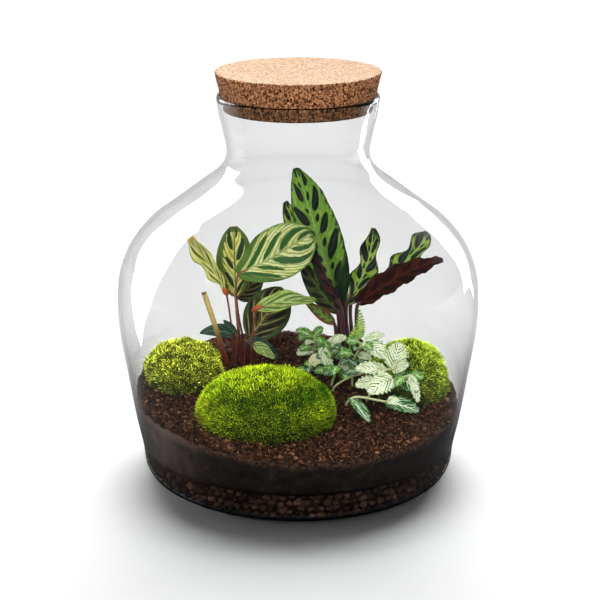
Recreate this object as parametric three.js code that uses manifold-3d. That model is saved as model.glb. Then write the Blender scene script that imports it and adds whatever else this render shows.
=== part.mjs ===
// A corked glass bottle garden: a blown jar with pebbles, soil, moss cushions and small foliage plants.
// Millimetres. X runs to the right, Y away from the viewer and Z up. The jar stands on Z = 0.

import * as THREE from 'three';
import { mergeVertices } from 'three/addons/utils/BufferGeometryUtils.js';
import Module from 'manifold-3d';

const wasm = await Module();
wasm.setup();

// ---- Driving dimensions -------------------------------------------------------------------------

const GAP = 0.4; // air left between pieces that touch
const FACETS = 32; // sides of every round body, so that nested bodies stay parallel

// Outer outline of the glass, as [radius, height] from the heel to the mouth.
const JAR_OUTLINE = [
  [108, 0], [114.6, 1.8], [117.8, 7], [119.4, 20], [124.3, 45], [129.6, 80], [134, 110], [135, 130],
  [133.6, 150], [130.4, 162], [124.2, 175], [111, 191], [92.4, 205], [72.6, 220],
  [58.4, 231], [53.2, 239], [52.3, 247], [54.4, 258], [57.5, 272], [59.3, 284],
];
const WALL = 2.6;
const JAR_BASE = 5; // glass under the pebbles
const JAR_RIM = 286; // height of the mouth
const LIP = { drop: 0.6, set: 0.7 }; // how the rounded lip falls away inside and draws in outside
const INNER_HEEL = [[106, JAR_BASE], [111.5, 7], [114.2, 12]];

const CORK = { bottom: 275.4, top: 303.5, lowRadius: 54.3, highRadius: 60.5, edge: 1.2 };

const PEBBLES = {
  bottom: JAR_BASE + GAP, bed: [9, 14], top: 23, rows: [11.5, 18.5], perRow: 16, radius: 5.4,
  shoulder: 4.6, clear: 0.9,
};

const SOIL = {
  bottom: PEBBLES.top + GAP, sides: [30, 40], middle: 57, rings: 9,
  reach: 120, back: 4.8, left: 5, sag: 2.6,
};
const SOIL_LUMP = { x: -9, y: 88, height: 13, spread: 12 };
const CLODS = { height: 0.9, fineHeight: 0.54, pitch: 0.19 };
const HOLE_DEPTH = 8;
const HOLE_AIR = 0.6; // a hole in the soil is this much wider all round than its stem
const CUT_HEIGHT = 40; // cutting shapes reach well above the soil
const SLIVER = 0.03; // triangles thinner than this are cleaned away after a cut or joint

const MOSS_SEAT = 4; // how deep a cushion sits in the soil
const MOSS_CUSHIONS = [
  { name: 'moss_cushion_front', x: -24, y: -49, rx: 51, ry: 46, top: 89, color: 0x6f9a1f },
  { name: 'moss_cushion_left', x: -90, y: 14, rx: 30, ry: 36, top: 90, color: 0x8c9a33 },
  { name: 'moss_cushion_right', x: 86, y: 12, rx: 31, ry: 35, top: 91, color: 0x7fa02a },
];
const MOSS = { segments: 24, rings: 8, tuft: 1.5, smoothRings: 1, skirt: 2, shoulder: 0.85 };

// Leaf outlines: where the widest place lies and how full the two ends are.
const OVAL = { peak: 0.9, fullness: 0.6 };
const BROAD_TIP = { peak: 1.1, fullness: 0.62 };
const LANCE = { peak: 0.85, fullness: 0.8 };
const LONG = { peak: 0.9, fullness: 0.7 };
const TALL = { peak: 1.05, fullness: 0.7 };
const STRAP = { peak: 0.95, fullness: 0.6 };

const BLADE_THICKNESS = 0.9;
const BLADE_ENDS = [0.03, 0.98]; // the stretch of the outline curve that a blade uses, so no end is a point
const EDGE_LAG = 1.6; // how far, in radians, the waves of the two edges are out of step
const STALK_RUN = 0.14; // how far the stalk runs on into the midrib
const SMALL = { columns: 2, rows: 6 };

// Cream-striped oval leaves on thin red stalks. Each leaf names where its stalk leaves the soil, the
// foot, middle and tip of its midrib, half its width, and the way its upper side faces.
const PEACOCK_STALK = { root: 1.35, top: 0.8 };
const PEACOCK_LEAVES = [
  {
    name: 'peacock_leaf_narrow', color: 0xcfc988, root: [-51, 50],
    foot: [-57, 49, 121], middle: [-67, 47, 141], tip: [-84, 44, 167], half: 7.5,
    face: [-0.5, -0.8, 0.2], fold: 22, wave: 1.6, waves: 2.5, outline: BROAD_TIP,
  },
  {
    name: 'peacock_leaf_upright', color: 0xa9ab66, root: [-47, 56],
    foot: [-50, 56, 115], middle: [-50, 58, 142], tip: [-51, 62, 170], half: 14.5,
    face: [0, -1, 0.15], fold: 8, outline: OVAL,
  },
  {
    name: 'peacock_leaf_large', color: 0x8b9a57, root: [-45.5, 49.5],
    foot: [-47, 46, 136], middle: [-18, 41, 153], tip: [11.5, 36, 170], half: 21,
    face: [0.1, -0.9, 0.35], fold: 6, outline: BROAD_TIP,
  },
  {
    name: 'peacock_leaf_behind', color: 0x4c3426, root: [-42.5, 60],
    foot: [-49, 67, 110], middle: [-41, 68, 118], tip: [-29, 68, 131], half: 11,
    face: [0.2, 0.9, 0.2], fold: 6, outline: OVAL,
  },
  {
    name: 'peacock_leaf_round', color: 0x33241c, root: [-40, 56],
    foot: [-38, 54, 81], middle: [-24, 55, 102], tip: [-11, 56, 121], half: 18,
    face: [0.25, 0.95, 0], fold: 6, outline: OVAL,
  },
  {
    name: 'peacock_leaf_light', color: 0xaeb070, root: [-36, 42.5],
    foot: [-32, 34, 111.5], middle: [-9, 28, 120], tip: [15, 26, 121], half: 11,
    face: [0, -0.45, 0.9], fold: 8, outline: OVAL,
  },
  {
    name: 'peacock_leaf_dark_left', color: 0x27423c, root: [-52, 58],
    foot: [-50, 60, 79], middle: [-63, 59, 84.5], tip: [-79, 58, 83], half: 6,
    face: [0.1, -0.7, 0.7], fold: 10, outline: LANCE, ...SMALL,
  },
  {
    name: 'peacock_leaf_small', color: 0x233a3a, root: [-50, 43.5],
    foot: [-48.5, 43.5, 86], middle: [-54, 43, 93], tip: [-59, 43, 99], half: 3.2,
    face: [0.5, -0.8, 0.3], fold: 15, outline: LANCE, ...SMALL,
  },
  {
    name: 'peacock_leaf_dark_low', color: 0x213c38, root: [-43, 46],
    foot: [-40.5, 48, 80.5], middle: [-29, 48, 75], tip: [-15, 48, 65.5], half: 5,
    face: [0, -0.6, 0.8], fold: 12, outline: LANCE, ...SMALL,
  },
  {
    name: 'peacock_leaf_light_low', color: 0xa3ac7c, root: [-37, 35.5],
    foot: [-35.5, 35, 81], middle: [-24, 33.5, 76.5], tip: [-8, 32, 66.5], half: 4.6,
    face: [-0.2, -0.7, 0.7], fold: 12, outline: LANCE, ...SMALL,
  },
];
const CUT_STALK = {
  name: 'peacock_cut_stalk', root: [-57, 45], middle: [-65, 44, 91], top: [-74, 43, 122.4], radius: 1.7,
  color: 0x7a4030,
};

// Long waved leaves with dark ovals above and purple undersides.
const RATTLESNAKE_STALK = { root: 1.7, top: 1.2 };
const RATTLESNAKE_LEAVES = [
  {
    name: 'rattlesnake_leaf_tall', color: 0x97b33a, root: [37, 61],
    foot: [34, 60, 105], middle: [15.5, 60, 163], tip: [-1, 50, 220], half: 17.5,
    face: [0.22, -0.97, 0.1], fold: 20, wave: 0.8, waves: 3, outline: TALL,
  },
  {
    name: 'rattlesnake_leaf_back_right', color: 0x5f6b2c, root: [42, 66.5],
    foot: [36, 70, 108], middle: [31, 72, 139], tip: [29.5, 73, 168], half: 9,
    face: [0.1, -1, 0.1], fold: 15, wave: 0.6, waves: 2, outline: LANCE,
  },
  {
    name: 'rattlesnake_leaf_back_left', color: 0x6a9450, root: [35, 69],
    foot: [32, 74, 106], middle: [6, 76, 147], tip: [-10, 78, 186], half: 8,
    face: [-0.1, -1, 0.1], fold: 15, wave: 0.6, waves: 2, outline: LANCE,
  },
  {
    name: 'rattlesnake_leaf_dark_left', color: 0x363c24, root: [32, 53],
    foot: [31, 48, 104], middle: [16, 49, 124], tip: [2, 50, 145], half: 9,
    face: [-0.3, -0.8, 0.5], fold: 14, wave: 0.8, waves: 2.5, outline: LANCE,
  },
  {
    name: 'rattlesnake_leaf_rolled', color: 0x69363c, root: [36, 46],
    foot: [34, 43, 109], middle: [20, 43, 140], tip: [11.5, 44, 166], half: 7,
    face: [-0.75, -0.65, 0], fold: 34, outline: LANCE,
  },
  {
    name: 'rattlesnake_leaf_small', color: 0x6f9c3c, root: [41.5, 52],
    foot: [38.5, 50, 111], middle: [53, 53, 140], tip: [59, 57, 170], half: 7.5,
    face: [0, -1, 0.1], fold: 10, wave: 2.2, waves: 3, outline: STRAP, rows: 12,
  },
  {
    name: 'rattlesnake_leaf_far_right', color: 0x6a993c, root: [46, 60],
    foot: [43, 62, 110], middle: [77, 63, 133], tip: [106, 60, 162], half: 8,
    face: [-0.3, -0.75, 0.6], fold: 10, wave: 1.8, waves: 3.5, outline: STRAP, rows: 12,
  },
  {
    name: 'rattlesnake_leaf_purple', color: 0x4c2732, root: [47.5, 48],
    foot: [47, 46, 111.5], middle: [79.5, 42, 136.5], tip: [112.5, 38, 150.5], half: 10.5,
    face: [-0.15, 0.95, 0.2], fold: 8, wave: 1, waves: 4.5, outline: LONG, rows: 14,
  },
  {
    name: 'rattlesnake_leaf_low', color: 0x5d8738, root: [30, 45],
    foot: [28.5, 40, 97], middle: [18, 38, 106], tip: [5, 36, 117], half: 5,
    face: [-0.2, -0.7, 0.6], fold: 16, outline: LANCE, ...SMALL,
  },
];

// White leaves with green veins, in pairs on pale stems. A leaf is [foot, tip, half width, facing].
const NERVE_STEM = { radius: 0.9, petiole: 0.7 };
const NERVE_LEAF = { arch: 1.2, fold: 12, outline: OVAL, columns: 2, rows: 3 };
const NERVE_COLOR = 0xd9dec2;
const NERVE_SPRIGS = [
  {
    name: 'nerve_sprig_back', stem: [[13, 52], [13, 49, 74], [13, 48, 84]],
    leaves: [
      [[12, 48, 83], [-2, 46, 89], 5, [0, -0.5, 0.8]],
      [[13, 48, 84], [20, 47, 91], 4, [0.2, -0.7, 0.6]],
      [[12, 47, 73], [-1, 41, 71], 5, [0, -0.6, 0.8]],
    ],
  },
  {
    name: 'nerve_sprig_left', stem: [[9, 29], [9.3, 29.2, 63], [10, 30, 66]],
    leaves: [[[10, 30, 66], [18, 28, 75], 5, [-0.3, -0.8, 0.4]]],
  },
  {
    name: 'nerve_sprig_middle', stem: [[24, 31], [24.5, 31, 70], [24, 32, 82]],
    leaves: [
      [[23, 33, 82], [38, 33, 88], 5, [0, -0.5, 0.8]],
      [[25, 31, 77], [19, 28, 87], 3.6, [-0.2, -0.8, 0.5]],
      [[26, 31, 76], [34, 30, 82], 3.6, [0.2, -0.8, 0.5]],
      [[18, 30, 81], [26, 22, 64], 5, [0, -0.9, 0.3]],
    ],
  },
  {
    name: 'nerve_sprig_low', stem: [[26, 9], [32, 13, 73], [34, 14, 77]],
    leaves: [
      [[33, 14, 76], [38, 8, 69], 3.6, [0.1, -0.9, 0.4]],
      [[34, 14, 76], [34, 16, 87], 4.2, [0, -1, 0.1]],
    ],
  },
  {
    name: 'nerve_sprig_centre', stem: [[42, 10], [43, 9, 78], [50, 5, 94]],
    leaves: [
      [[50, 4, 95], [68, -4, 84], 8, [0.2, -0.7, 0.6]],
      [[51, 5, 95], [66, 8, 99], 4, [0, -0.6, 0.8]],
    ],
  },
  {
    name: 'nerve_sprig_right_high', stem: [[27, 1], [42, -9, 72], [70, -16, 80]],
    leaves: [
      [[71, -16, 81], [77, -12, 100], 9.5, [0.1, -0.9, 0.3]],
      [[66, -15, 79], [43, -18, 81], 5.6, [0, -0.75, 0.6]],
      [[71, -17, 79], [83, -22, 86], 5, [-0.1, -0.8, 0.5]],
    ],
  },
  {
    name: 'nerve_sprig_right_low', stem: [[52, -19], [66, -21, 71], [84, -26, 79]],
    leaves: [
      [[71, -23, 75], [52, -34, 68], 9, [0.1, -0.7, 0.7]],
      [[62, -20, 71], [43, -25, 70], 6, [-0.1, -0.7, 0.6]],
      [[75, -23, 76], [90, -33, 69], 8, [0.1, -0.75, 0.6]],
      [[84, -27, 79], [89, -37, 62], 4.5, [0.4, -0.8, 0.3]],
    ],
  },
  {
    name: 'nerve_sprig_trailing', stem: [[36, -29], [42, -35, 65], [65, -36, 62]],
    leaves: [
      [[39, -34, 64], [51.5, -61, 56], 6, [0.3, -0.4, 0.8]],
      [[65, -36, 62], [89, -46, 58], 7, [0, -0.6, 0.8]],
    ],
  },
];

const FERN = {
  name: 'fern_frond', root: [41, 34], foot: [41, 36, 83], middle: [46.5, 36, 96], tip: [47, 36, 112],
  leaflets: 7, leftReach: 2.5, rightReach: 11, ribHalf: 1.1, slant: 0.45, leafletWidth: 0.6, blunt: 0.75,
  thickness: 0.9, stem: 0.8, color: 0x8fb53a,
};

const GLASS_COLOR = 0xe8efee;
const CORK_COLOR = 0xb98f62;
const PEBBLE_COLOR = 0x5b4134;
const SOIL_COLOR = 0x35231a;

// ---- Solids --------------------------------------------------------------------------------------

const point = ([x, y, z]) => new THREE.Vector3(x, y, z);

// Welds a geometry into one skin of shared vertices, without triangles that have closed up.
function weld(geometry) {
  geometry.deleteAttribute('normal');
  geometry.deleteAttribute('uv');
  const welded = mergeVertices(geometry, 1e-3);
  const corners = welded.index.array;
  const kept = [];
  for (let i = 0; i < corners.length; i += 3) {
    const [a, b, c] = corners.slice(i, i + 3);
    if (a !== b && b !== c && c !== a) kept.push(a, b, c);
  }
  welded.setIndex(kept);
  return welded;
}

function solidOf(geometry) {
  const welded = weld(geometry);
  return new wasm.Manifold(new wasm.Mesh({
    numProp: 3,
    vertProperties: new Float32Array(welded.attributes.position.array),
    triVerts: new Uint32Array(welded.index.array),
  }));
}

// Cleans away the slivers that a cut or joint leaves, and any loose scrap or sealed hollow.
function cleaned(solid) {
  const bodies = solid.asOriginal().simplify(SLIVER).decompose();
  return bodies.reduce((largest, body) => (body.volume() > largest.volume() ? body : largest));
}

function geometryOf(solid) {
  const mesh = cleaned(solid).getMesh();
  const geometry = new THREE.BufferGeometry();
  geometry.setAttribute('position', new THREE.BufferAttribute(mesh.vertProperties, 3));
  geometry.setIndex(new THREE.BufferAttribute(mesh.triVerts, 1));
  return geometry;
}

function fuse(geometries) {
  return geometryOf(geometries.map(solidOf).reduce((whole, piece) => whole.add(piece)));
}

// Turns a closed [radius, height] outline about the upright axis.
function turned(outline, facets = FACETS) {
  const points = outline.map(([radius, height]) => new THREE.Vector2(radius, height));
  return new THREE.LatheGeometry(points, facets).rotateX(Math.PI / 2);
}

// A round bar along a path, its radius given along its length.
function bar(path, radiusAt, sides, steps) {
  const geometry = new THREE.CylinderGeometry(1, 1, 1, sides, steps);
  const frames = path.computeFrenetFrames(steps, false);
  const position = geometry.attributes.position;
  for (let i = 0; i < position.count; i++) {
    const along = position.getY(i) + 0.5;
    const step = Math.round(along * steps);
    const radius = radiusAt(along);
    const place = path.getPointAt(along)
      .addScaledVector(frames.binormals[step], position.getX(i) * radius)
      .addScaledVector(frames.normals[step], position.getZ(i) * radius);
    position.setXYZ(i, place.x, place.y, place.z);
  }
  return geometry;
}

// A thin sheet: one grid laid twice, the same triangles on both faces, and closed round its rim.
function sheet(columns, rows, thickness, place) {
  const grid = new THREE.PlaneGeometry(2, 1, columns, rows);
  const upper = [];
  const lower = [];
  for (let i = 0; i < grid.attributes.position.count; i++) {
    const across = grid.attributes.position.getX(i);
    const along = grid.attributes.position.getY(i) + 0.5;
    const { spot, normal } = place(across, along);
    upper.push(...spot.clone().addScaledVector(normal, thickness / 2).toArray());
    lower.push(...spot.clone().addScaledVector(normal, -thickness / 2).toArray());
  }
  const wide = columns + 1;
  const count = wide * (rows + 1);
  const rim = [];
  for (let row = 0; row < rows; row++) rim.push(row * wide);
  for (let column = 0; column < columns; column++) rim.push(rows * wide + column);
  for (let row = rows; row > 0; row--) rim.push(row * wide + columns);
  for (let column = columns; column > 0; column--) rim.push(column);
  const triangles = [...grid.index.array];
  for (let i = 0; i < grid.index.count; i += 3) {
    const [a, b, c] = grid.index.array.slice(i, i + 3);
    triangles.push(a + count, c + count, b + count);
  }
  rim.forEach((here, i) => {
    const next = rim[(i + 1) % rim.length];
    triangles.push(here, here + count, next + count, here, next + count, next);
  });
  const geometry = new THREE.BufferGeometry();
  geometry.setAttribute('position', new THREE.Float32BufferAttribute([...upper, ...lower], 3));
  geometry.setIndex(triangles);
  return geometry;
}

// ---- Jar, cork, pebbles and soil -----------------------------------------------------------------

const corkRadiusAt = (height) => THREE.MathUtils.mapLinear(
  height, CORK.bottom, CORK.top, CORK.lowRadius, CORK.highRadius);

// The inside of the wall, from the heel to the mouth: the outline moved in by the wall.
function innerOutline() {
  const inner = [...INNER_HEEL];
  for (let i = INNER_HEEL.length; i < JAR_OUTLINE.length; i++) {
    const [radius, height] = JAR_OUTLINE[i];
    const below = JAR_OUTLINE[i - 1];
    const above = JAR_OUTLINE[Math.min(i + 1, JAR_OUTLINE.length - 1)];
    const along = new THREE.Vector2(above[0] - below[0], above[1] - below[1]).normalize();
    inner.push([radius - WALL * along.y, height + WALL * along.x]);
  }
  const mouth = inner[inner.length - 1];
  mouth[0] = corkRadiusAt(JAR_RIM) + GAP;
  mouth[1] = JAR_RIM - LIP.drop;
  return inner;
}

const JAR_INSIDE = innerOutline();

function insideRadiusAt(height) {
  const k = JAR_INSIDE.findIndex(([, level]) => level >= height);
  const [r0, h0] = JAR_INSIDE[Math.max(k - 1, 0)];
  const [r1, h1] = JAR_INSIDE[Math.max(k, 1)];
  return THREE.MathUtils.mapLinear(height, h0, h1, r0, r1);
}

function jar() {
  const mouth = JAR_OUTLINE[JAR_OUTLINE.length - 1];
  const lip = [mouth[0] - LIP.set, JAR_RIM];
  const outline = [[0, 0], ...JAR_OUTLINE, lip, ...[...JAR_INSIDE].reverse(), [0, JAR_BASE]];
  return geometryOf(solidOf(turned(outline)));
}

function cork() {
  const { bottom, top, edge } = CORK;
  return fuse([turned([
    [0, bottom],
    [corkRadiusAt(bottom) - edge, bottom],
    [corkRadiusAt(bottom + edge), bottom + edge],
    [corkRadiusAt(top - edge), top - edge],
    [corkRadiusAt(top) - edge, top],
    [0, top],
  ])]);
}

// A bed of pebbles: half-sunk round the edge, where they show through the glass.
function pebbleBed() {
  const edgeAt = (height) => insideRadiusAt(height) - GAP;
  const levels = [PEBBLES.bottom, ...PEBBLES.bed, PEBBLES.top];
  const bed = turned([
    [0, PEBBLES.bottom],
    ...levels.map((height) => [edgeAt(height) - PEBBLES.shoulder, height]),
    [0, PEBBLES.top],
  ]);
  const stones = [];
  PEBBLES.rows.forEach((height, row) => {
    const ring = edgeAt(height) - PEBBLES.radius - PEBBLES.clear;
    for (let k = 0; k < PEBBLES.perRow; k++) {
      const turn = 2 * Math.PI * (k + row / 2) / PEBBLES.perRow;
      const stone = new THREE.IcosahedronGeometry(PEBBLES.radius, 0);
      stone.scale(0.9 + 0.1 * Math.sin(5 * k), 1, 0.82 + 0.12 * Math.cos(3 * k + row));
      stone.rotateZ(turn + 0.3 * Math.sin(7 * k));
      stone.translate(ring * Math.cos(turn), ring * Math.sin(turn), height);
      stones.push(stone);
    }
  });
  return fuse([bed, ...stones]);
}

// Height of the soil: it rises to the back and left, with a lump behind and clods all over.
function soilTop(x, y) {
  const across = x / SOIL.reach;
  const back = y / SOIL.reach;
  const slope = SOIL.back * back - SOIL.left * across + SOIL.sag * (across ** 2 - back ** 2);
  const fromLump = ((x - SOIL_LUMP.x) ** 2 + (y - SOIL_LUMP.y) ** 2) / (2 * SOIL_LUMP.spread ** 2);
  const lump = SOIL_LUMP.height * Math.exp(-fromLump);
  const coarse = Math.sin(CLODS.pitch * x + 1) * Math.cos(CLODS.pitch * y);
  const fine = Math.sin(2 * CLODS.pitch * (x - y));
  return SOIL.middle + slope + lump + CLODS.height * coarse + CLODS.fineHeight * fine;
}

// Everything that stands in the soil, as [x, y, radius].
function stemRoots() {
  return [
    ...PEACOCK_LEAVES.map(({ root }) => [...root, PEACOCK_STALK.root]),
    ...RATTLESNAKE_LEAVES.map(({ root }) => [...root, RATTLESNAKE_STALK.root]),
    [...CUT_STALK.root, CUT_STALK.radius],
    ...NERVE_SPRIGS.map(({ stem }) => [...stem[0], NERVE_STEM.radius]),
    [...FERN.root, FERN.stem],
  ];
}

// The shape of a hole or seat of the given depth in the soil.
function hollow(x, y, depth, radiusX, radiusY, sides) {
  const cut = new THREE.CylinderGeometry(1, 1, CUT_HEIGHT, sides).rotateX(Math.PI / 2);
  return cut.scale(radiusX, radiusY, 1).translate(x, y, soilTop(x, y) - depth + CUT_HEIGHT / 2);
}

function soil() {
  const levels = [SOIL.bottom, ...SOIL.sides];
  const outline = [[0, SOIL.bottom], ...levels.map((height) => [insideRadiusAt(height) - GAP, height])];
  const firstTop = outline.length;
  for (let ring = SOIL.rings; ring >= 0; ring--) outline.push([ring / SOIL.rings, SOIL.middle]);
  const body = turned(outline);
  const position = body.attributes.position;
  for (let i = 0; i < position.count; i++) {
    if (i % outline.length >= firstTop) {
      const turn = Math.atan2(position.getY(i), position.getX(i));
      const share = Math.hypot(position.getX(i), position.getY(i));
      const edge = insideRadiusAt(SOIL.middle) - GAP;
      const rimTop = soilTop(edge * Math.cos(turn), edge * Math.sin(turn));
      const reach = share * (insideRadiusAt(rimTop) - GAP);
      const x = reach * Math.cos(turn);
      const y = reach * Math.sin(turn);
      position.setXYZ(i, x, y, share > 0.99 ? rimTop : soilTop(x, y));
    }
  }
  const holes = stemRoots().map(([x, y, radius]) => (
    hollow(x, y, HOLE_DEPTH, radius + HOLE_AIR, radius + HOLE_AIR, 6)));
  const seats = MOSS_CUSHIONS.map(({ x, y, rx, ry }) => (
    hollow(x, y, MOSS_SEAT, rx + GAP, ry + GAP, MOSS.segments)));
  const cuts = [...holes, ...seats].map(solidOf);
  return geometryOf(cuts.reduce((rest, cut) => rest.subtract(cut), solidOf(body)));
}

// A domed cushion whose skin is raised in pointed tufts.
function mossCushion({ x, y, rx, ry, top }) {
  const seat = soilTop(x, y) - MOSS_SEAT + GAP;
  const skirt = soilTop(x, y) + MOSS.skirt;
  const outline = [[0, seat], [1, seat], [1, skirt]];
  const firstTuft = outline.length + MOSS.smoothRings;
  for (let ring = 1; ring < MOSS.rings; ring++) {
    const rise = (ring / MOSS.rings) * (Math.PI / 2);
    outline.push([Math.cos(rise) ** MOSS.shoulder, skirt + (top - skirt) * Math.sin(rise)]);
  }
  const crown = outline.length;
  outline.push([0, top]);
  // A cylinder and a lathe count their sides from different directions; a quarter turn lines them up.
  const dome = turned(outline, MOSS.segments).rotateZ(Math.PI / 2);
  const position = dome.attributes.position;
  for (let i = 0; i < position.count; i++) {
    const ring = i % outline.length;
    const segment = Math.floor(i / outline.length) % MOSS.segments;
    const isTuft = ring >= firstTuft && ring < crown && (ring + segment) % 2 === 0;
    const away = new THREE.Vector3(
      position.getX(i) / rx, position.getY(i) / ry, (position.getZ(i) - skirt) / (top - skirt) ** 2);
    away.setLength(isTuft ? MOSS.tuft : 0);
    position.setXYZ(i,
      x + rx * position.getX(i) + away.x,
      y + ry * position.getY(i) + away.y,
      position.getZ(i) + away.z);
  }
  return fuse([dome]);
}

// ---- Leaves --------------------------------------------------------------------------------------

// A midrib that passes through its middle point.
function midrib(foot, middle, tip) {
  const bend = point(middle).multiplyScalar(2).sub(point(foot).add(point(tip)).multiplyScalar(0.5));
  return new THREE.QuadraticBezierCurve3(point(foot), bend, point(tip));
}

function blade({ rib, half, face, fold = 10, wave = 0, waves = 1, outline, columns = 4, rows = 7 }) {
  const rise = Math.tan(THREE.MathUtils.degToRad(fold));
  return sheet(columns, rows, BLADE_THICKNESS, (across, along) => {
    const run = rib.getTangent(along);
    const side = new THREE.Vector3().crossVectors(run, point(face)).normalize();
    const normal = new THREE.Vector3().crossVectors(side, run);
    const place = THREE.MathUtils.lerp(...BLADE_ENDS, along);
    const width = half * Math.sin(Math.PI * place ** outline.peak) ** outline.fullness;
    const edge = Math.abs(across);
    const lag = across < 0 ? EDGE_LAG : 0;
    const ripple = wave * edge ** 2 * Math.sin(2 * Math.PI * waves * along + lag);
    const spot = rib.getPoint(along)
      .addScaledVector(side, width * across)
      .addScaledVector(normal, width * edge * rise + ripple);
    return { spot, normal };
  });
}

// A stem rises straight out of its hole in the soil and then follows its own points.
function stemPath([x, y], straight, points) {
  const ground = soilTop(x, y);
  return new THREE.CatmullRomCurve3([
    new THREE.Vector3(x, y, ground - HOLE_DEPTH + GAP),
    new THREE.Vector3(x, y, ground - 1),
    new THREE.Vector3(x, y, ground + straight),
    ...points,
  ]);
}

function stalkedLeaf(leaf, stalk) {
  const rib = midrib(leaf.foot, leaf.middle, leaf.tip);
  const radiusAt = (along) => THREE.MathUtils.lerp(stalk.root, stalk.top, along);
  const path = stemPath(leaf.root, 4, [rib.getPoint(0), rib.getPoint(STALK_RUN)]);
  return fuse([blade({ rib, ...leaf }), bar(path, radiusAt, 5, 6)]);
}

function cutStalk({ root, middle, top, radius }) {
  return bar(stemPath(root, 2, [point(middle), point(top)]), () => radius, 6, 8);
}

// The spot on a path that lies nearest to a target.
function nearest(path, target) {
  return path.getPoints(40).reduce((best, spot) => (
    spot.distanceTo(target) < best.distanceTo(target) ? spot : best));
}

// A stem with its leaves, each on a short petiole.
function nerveSprig({ stem, leaves }) {
  const [root, ...bends] = stem;
  const path = stemPath(root, 2, bends.map(point));
  const pieces = [bar(path, () => NERVE_STEM.radius, 5, 6)];
  leaves.forEach(([foot, tip, half, face]) => {
    const middle = point(foot).lerp(point(tip), 0.5);
    middle.z += NERVE_LEAF.arch;
    const rib = midrib(foot, middle.toArray(), tip);
    const petiole = new THREE.CatmullRomCurve3([
      nearest(path, point(foot)), rib.getPoint(0.12), rib.getPoint(0.3)]);
    pieces.push(blade({ rib, half, face, ...NERVE_LEAF }));
    pieces.push(bar(petiole, () => NERVE_STEM.petiole, 3, 2));
  });
  return fuse(pieces);
}


// One side of the frond's outline, from its foot up: a notched row of leaflets that slant upwards.
function leafletRow(rib, reach, sign, { leaflets, ribHalf, slant, leafletWidth, blunt }) {
  const row = [];
  for (let k = 0; k < leaflets; k++) {
    const length = reach * (1 - k / leaflets) ** 0.8;
    const low = rib.getPoint(k / leaflets);
    const high = rib.getPoint((k + leafletWidth) / leaflets);
    row.push(new THREE.Vector2(low.x + sign * ribHalf, low.z));
    row.push(new THREE.Vector2(low.x + sign * (ribHalf + length), low.z + slant * length));
    row.push(new THREE.Vector2(high.x + sign * (ribHalf + blunt * length), high.z + slant * length));
  }
  return row;
}

// A frond cut out in one piece, its leaflets reaching to the rib, on a thin stem.
function fernFrond(fern) {
  const { root, foot, middle, tip, thickness } = fern;
  const rib = midrib(foot, middle, tip);
  const shape = new THREE.Shape([
    ...leafletRow(rib, fern.rightReach, 1, fern),
    new THREE.Vector2(tip[0], tip[2]),
    ...leafletRow(rib, fern.leftReach, -1, fern).reverse(),
  ]);
  const frond = new THREE.ExtrudeGeometry(shape, { depth: thickness, bevelEnabled: false, steps: 1 });
  frond.rotateX(Math.PI / 2).translate(0, foot[1] + thickness / 2, 0);
  const path = stemPath(root, 2, [point(foot), rib.getPoint(0.6)]);
  return fuse([frond, bar(path, () => fern.stem, 5, 7)]);
}

// ---- The whole garden ----------------------------------------------------------------------------

const group = new THREE.Group();

function place(name, geometry, color, roughness = 0.7, extra = {}) {
  const material = new THREE.MeshStandardMaterial({ color, roughness, metalness: 0, ...extra });
  const mesh = new THREE.Mesh(geometry, material);
  mesh.name = name;
  group.add(mesh);
}

place('glass_jar', jar(), GLASS_COLOR, 0.02, { transparent: true, opacity: 0.25 });
place('cork_stopper', cork(), CORK_COLOR, 0.85);
place('drainage_pebbles', pebbleBed(), PEBBLE_COLOR, 0.9);
place('potting_soil', soil(), SOIL_COLOR, 0.95);
MOSS_CUSHIONS.forEach((cushion) => place(cushion.name, mossCushion(cushion), cushion.color, 0.9));
PEACOCK_LEAVES.forEach((leaf) => {
  place(leaf.name, stalkedLeaf(leaf, PEACOCK_STALK), leaf.color, 0.45);
});
place(CUT_STALK.name, cutStalk(CUT_STALK), CUT_STALK.color, 0.6);
RATTLESNAKE_LEAVES.forEach((leaf) => {
  place(leaf.name, stalkedLeaf(leaf, RATTLESNAKE_STALK), leaf.color, 0.45);
});
NERVE_SPRIGS.forEach((sprig) => place(sprig.name, nerveSprig(sprig), NERVE_COLOR, 0.55));
place(FERN.name, fernFrond(FERN), FERN.color, 0.6);

export default group;
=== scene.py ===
import math
import random

import bmesh
import bpy
import numpy as np
from mathutils import Matrix, Vector, noise


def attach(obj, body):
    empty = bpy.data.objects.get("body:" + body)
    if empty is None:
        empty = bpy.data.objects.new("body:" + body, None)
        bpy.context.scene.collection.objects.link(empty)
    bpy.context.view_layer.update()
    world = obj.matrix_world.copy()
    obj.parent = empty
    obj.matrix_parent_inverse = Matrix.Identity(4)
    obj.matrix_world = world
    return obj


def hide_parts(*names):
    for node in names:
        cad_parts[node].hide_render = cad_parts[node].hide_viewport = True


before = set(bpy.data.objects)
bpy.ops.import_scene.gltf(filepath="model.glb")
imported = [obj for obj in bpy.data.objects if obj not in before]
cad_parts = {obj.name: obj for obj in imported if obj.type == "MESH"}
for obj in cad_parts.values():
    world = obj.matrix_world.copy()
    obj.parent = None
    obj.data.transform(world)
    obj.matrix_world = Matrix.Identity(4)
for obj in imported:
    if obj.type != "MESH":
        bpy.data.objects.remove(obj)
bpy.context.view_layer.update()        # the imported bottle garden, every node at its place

mm = 0.001
up = Vector((0, 0, 1))
scene = bpy.context.scene

# Where the photograph was taken from, as a scratch fit to the jar's edges in it gave it.
photoCamera = {"spot": (1.4, -1100, 483), "lookDown": 17.81, "lens": 91.9}


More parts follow.
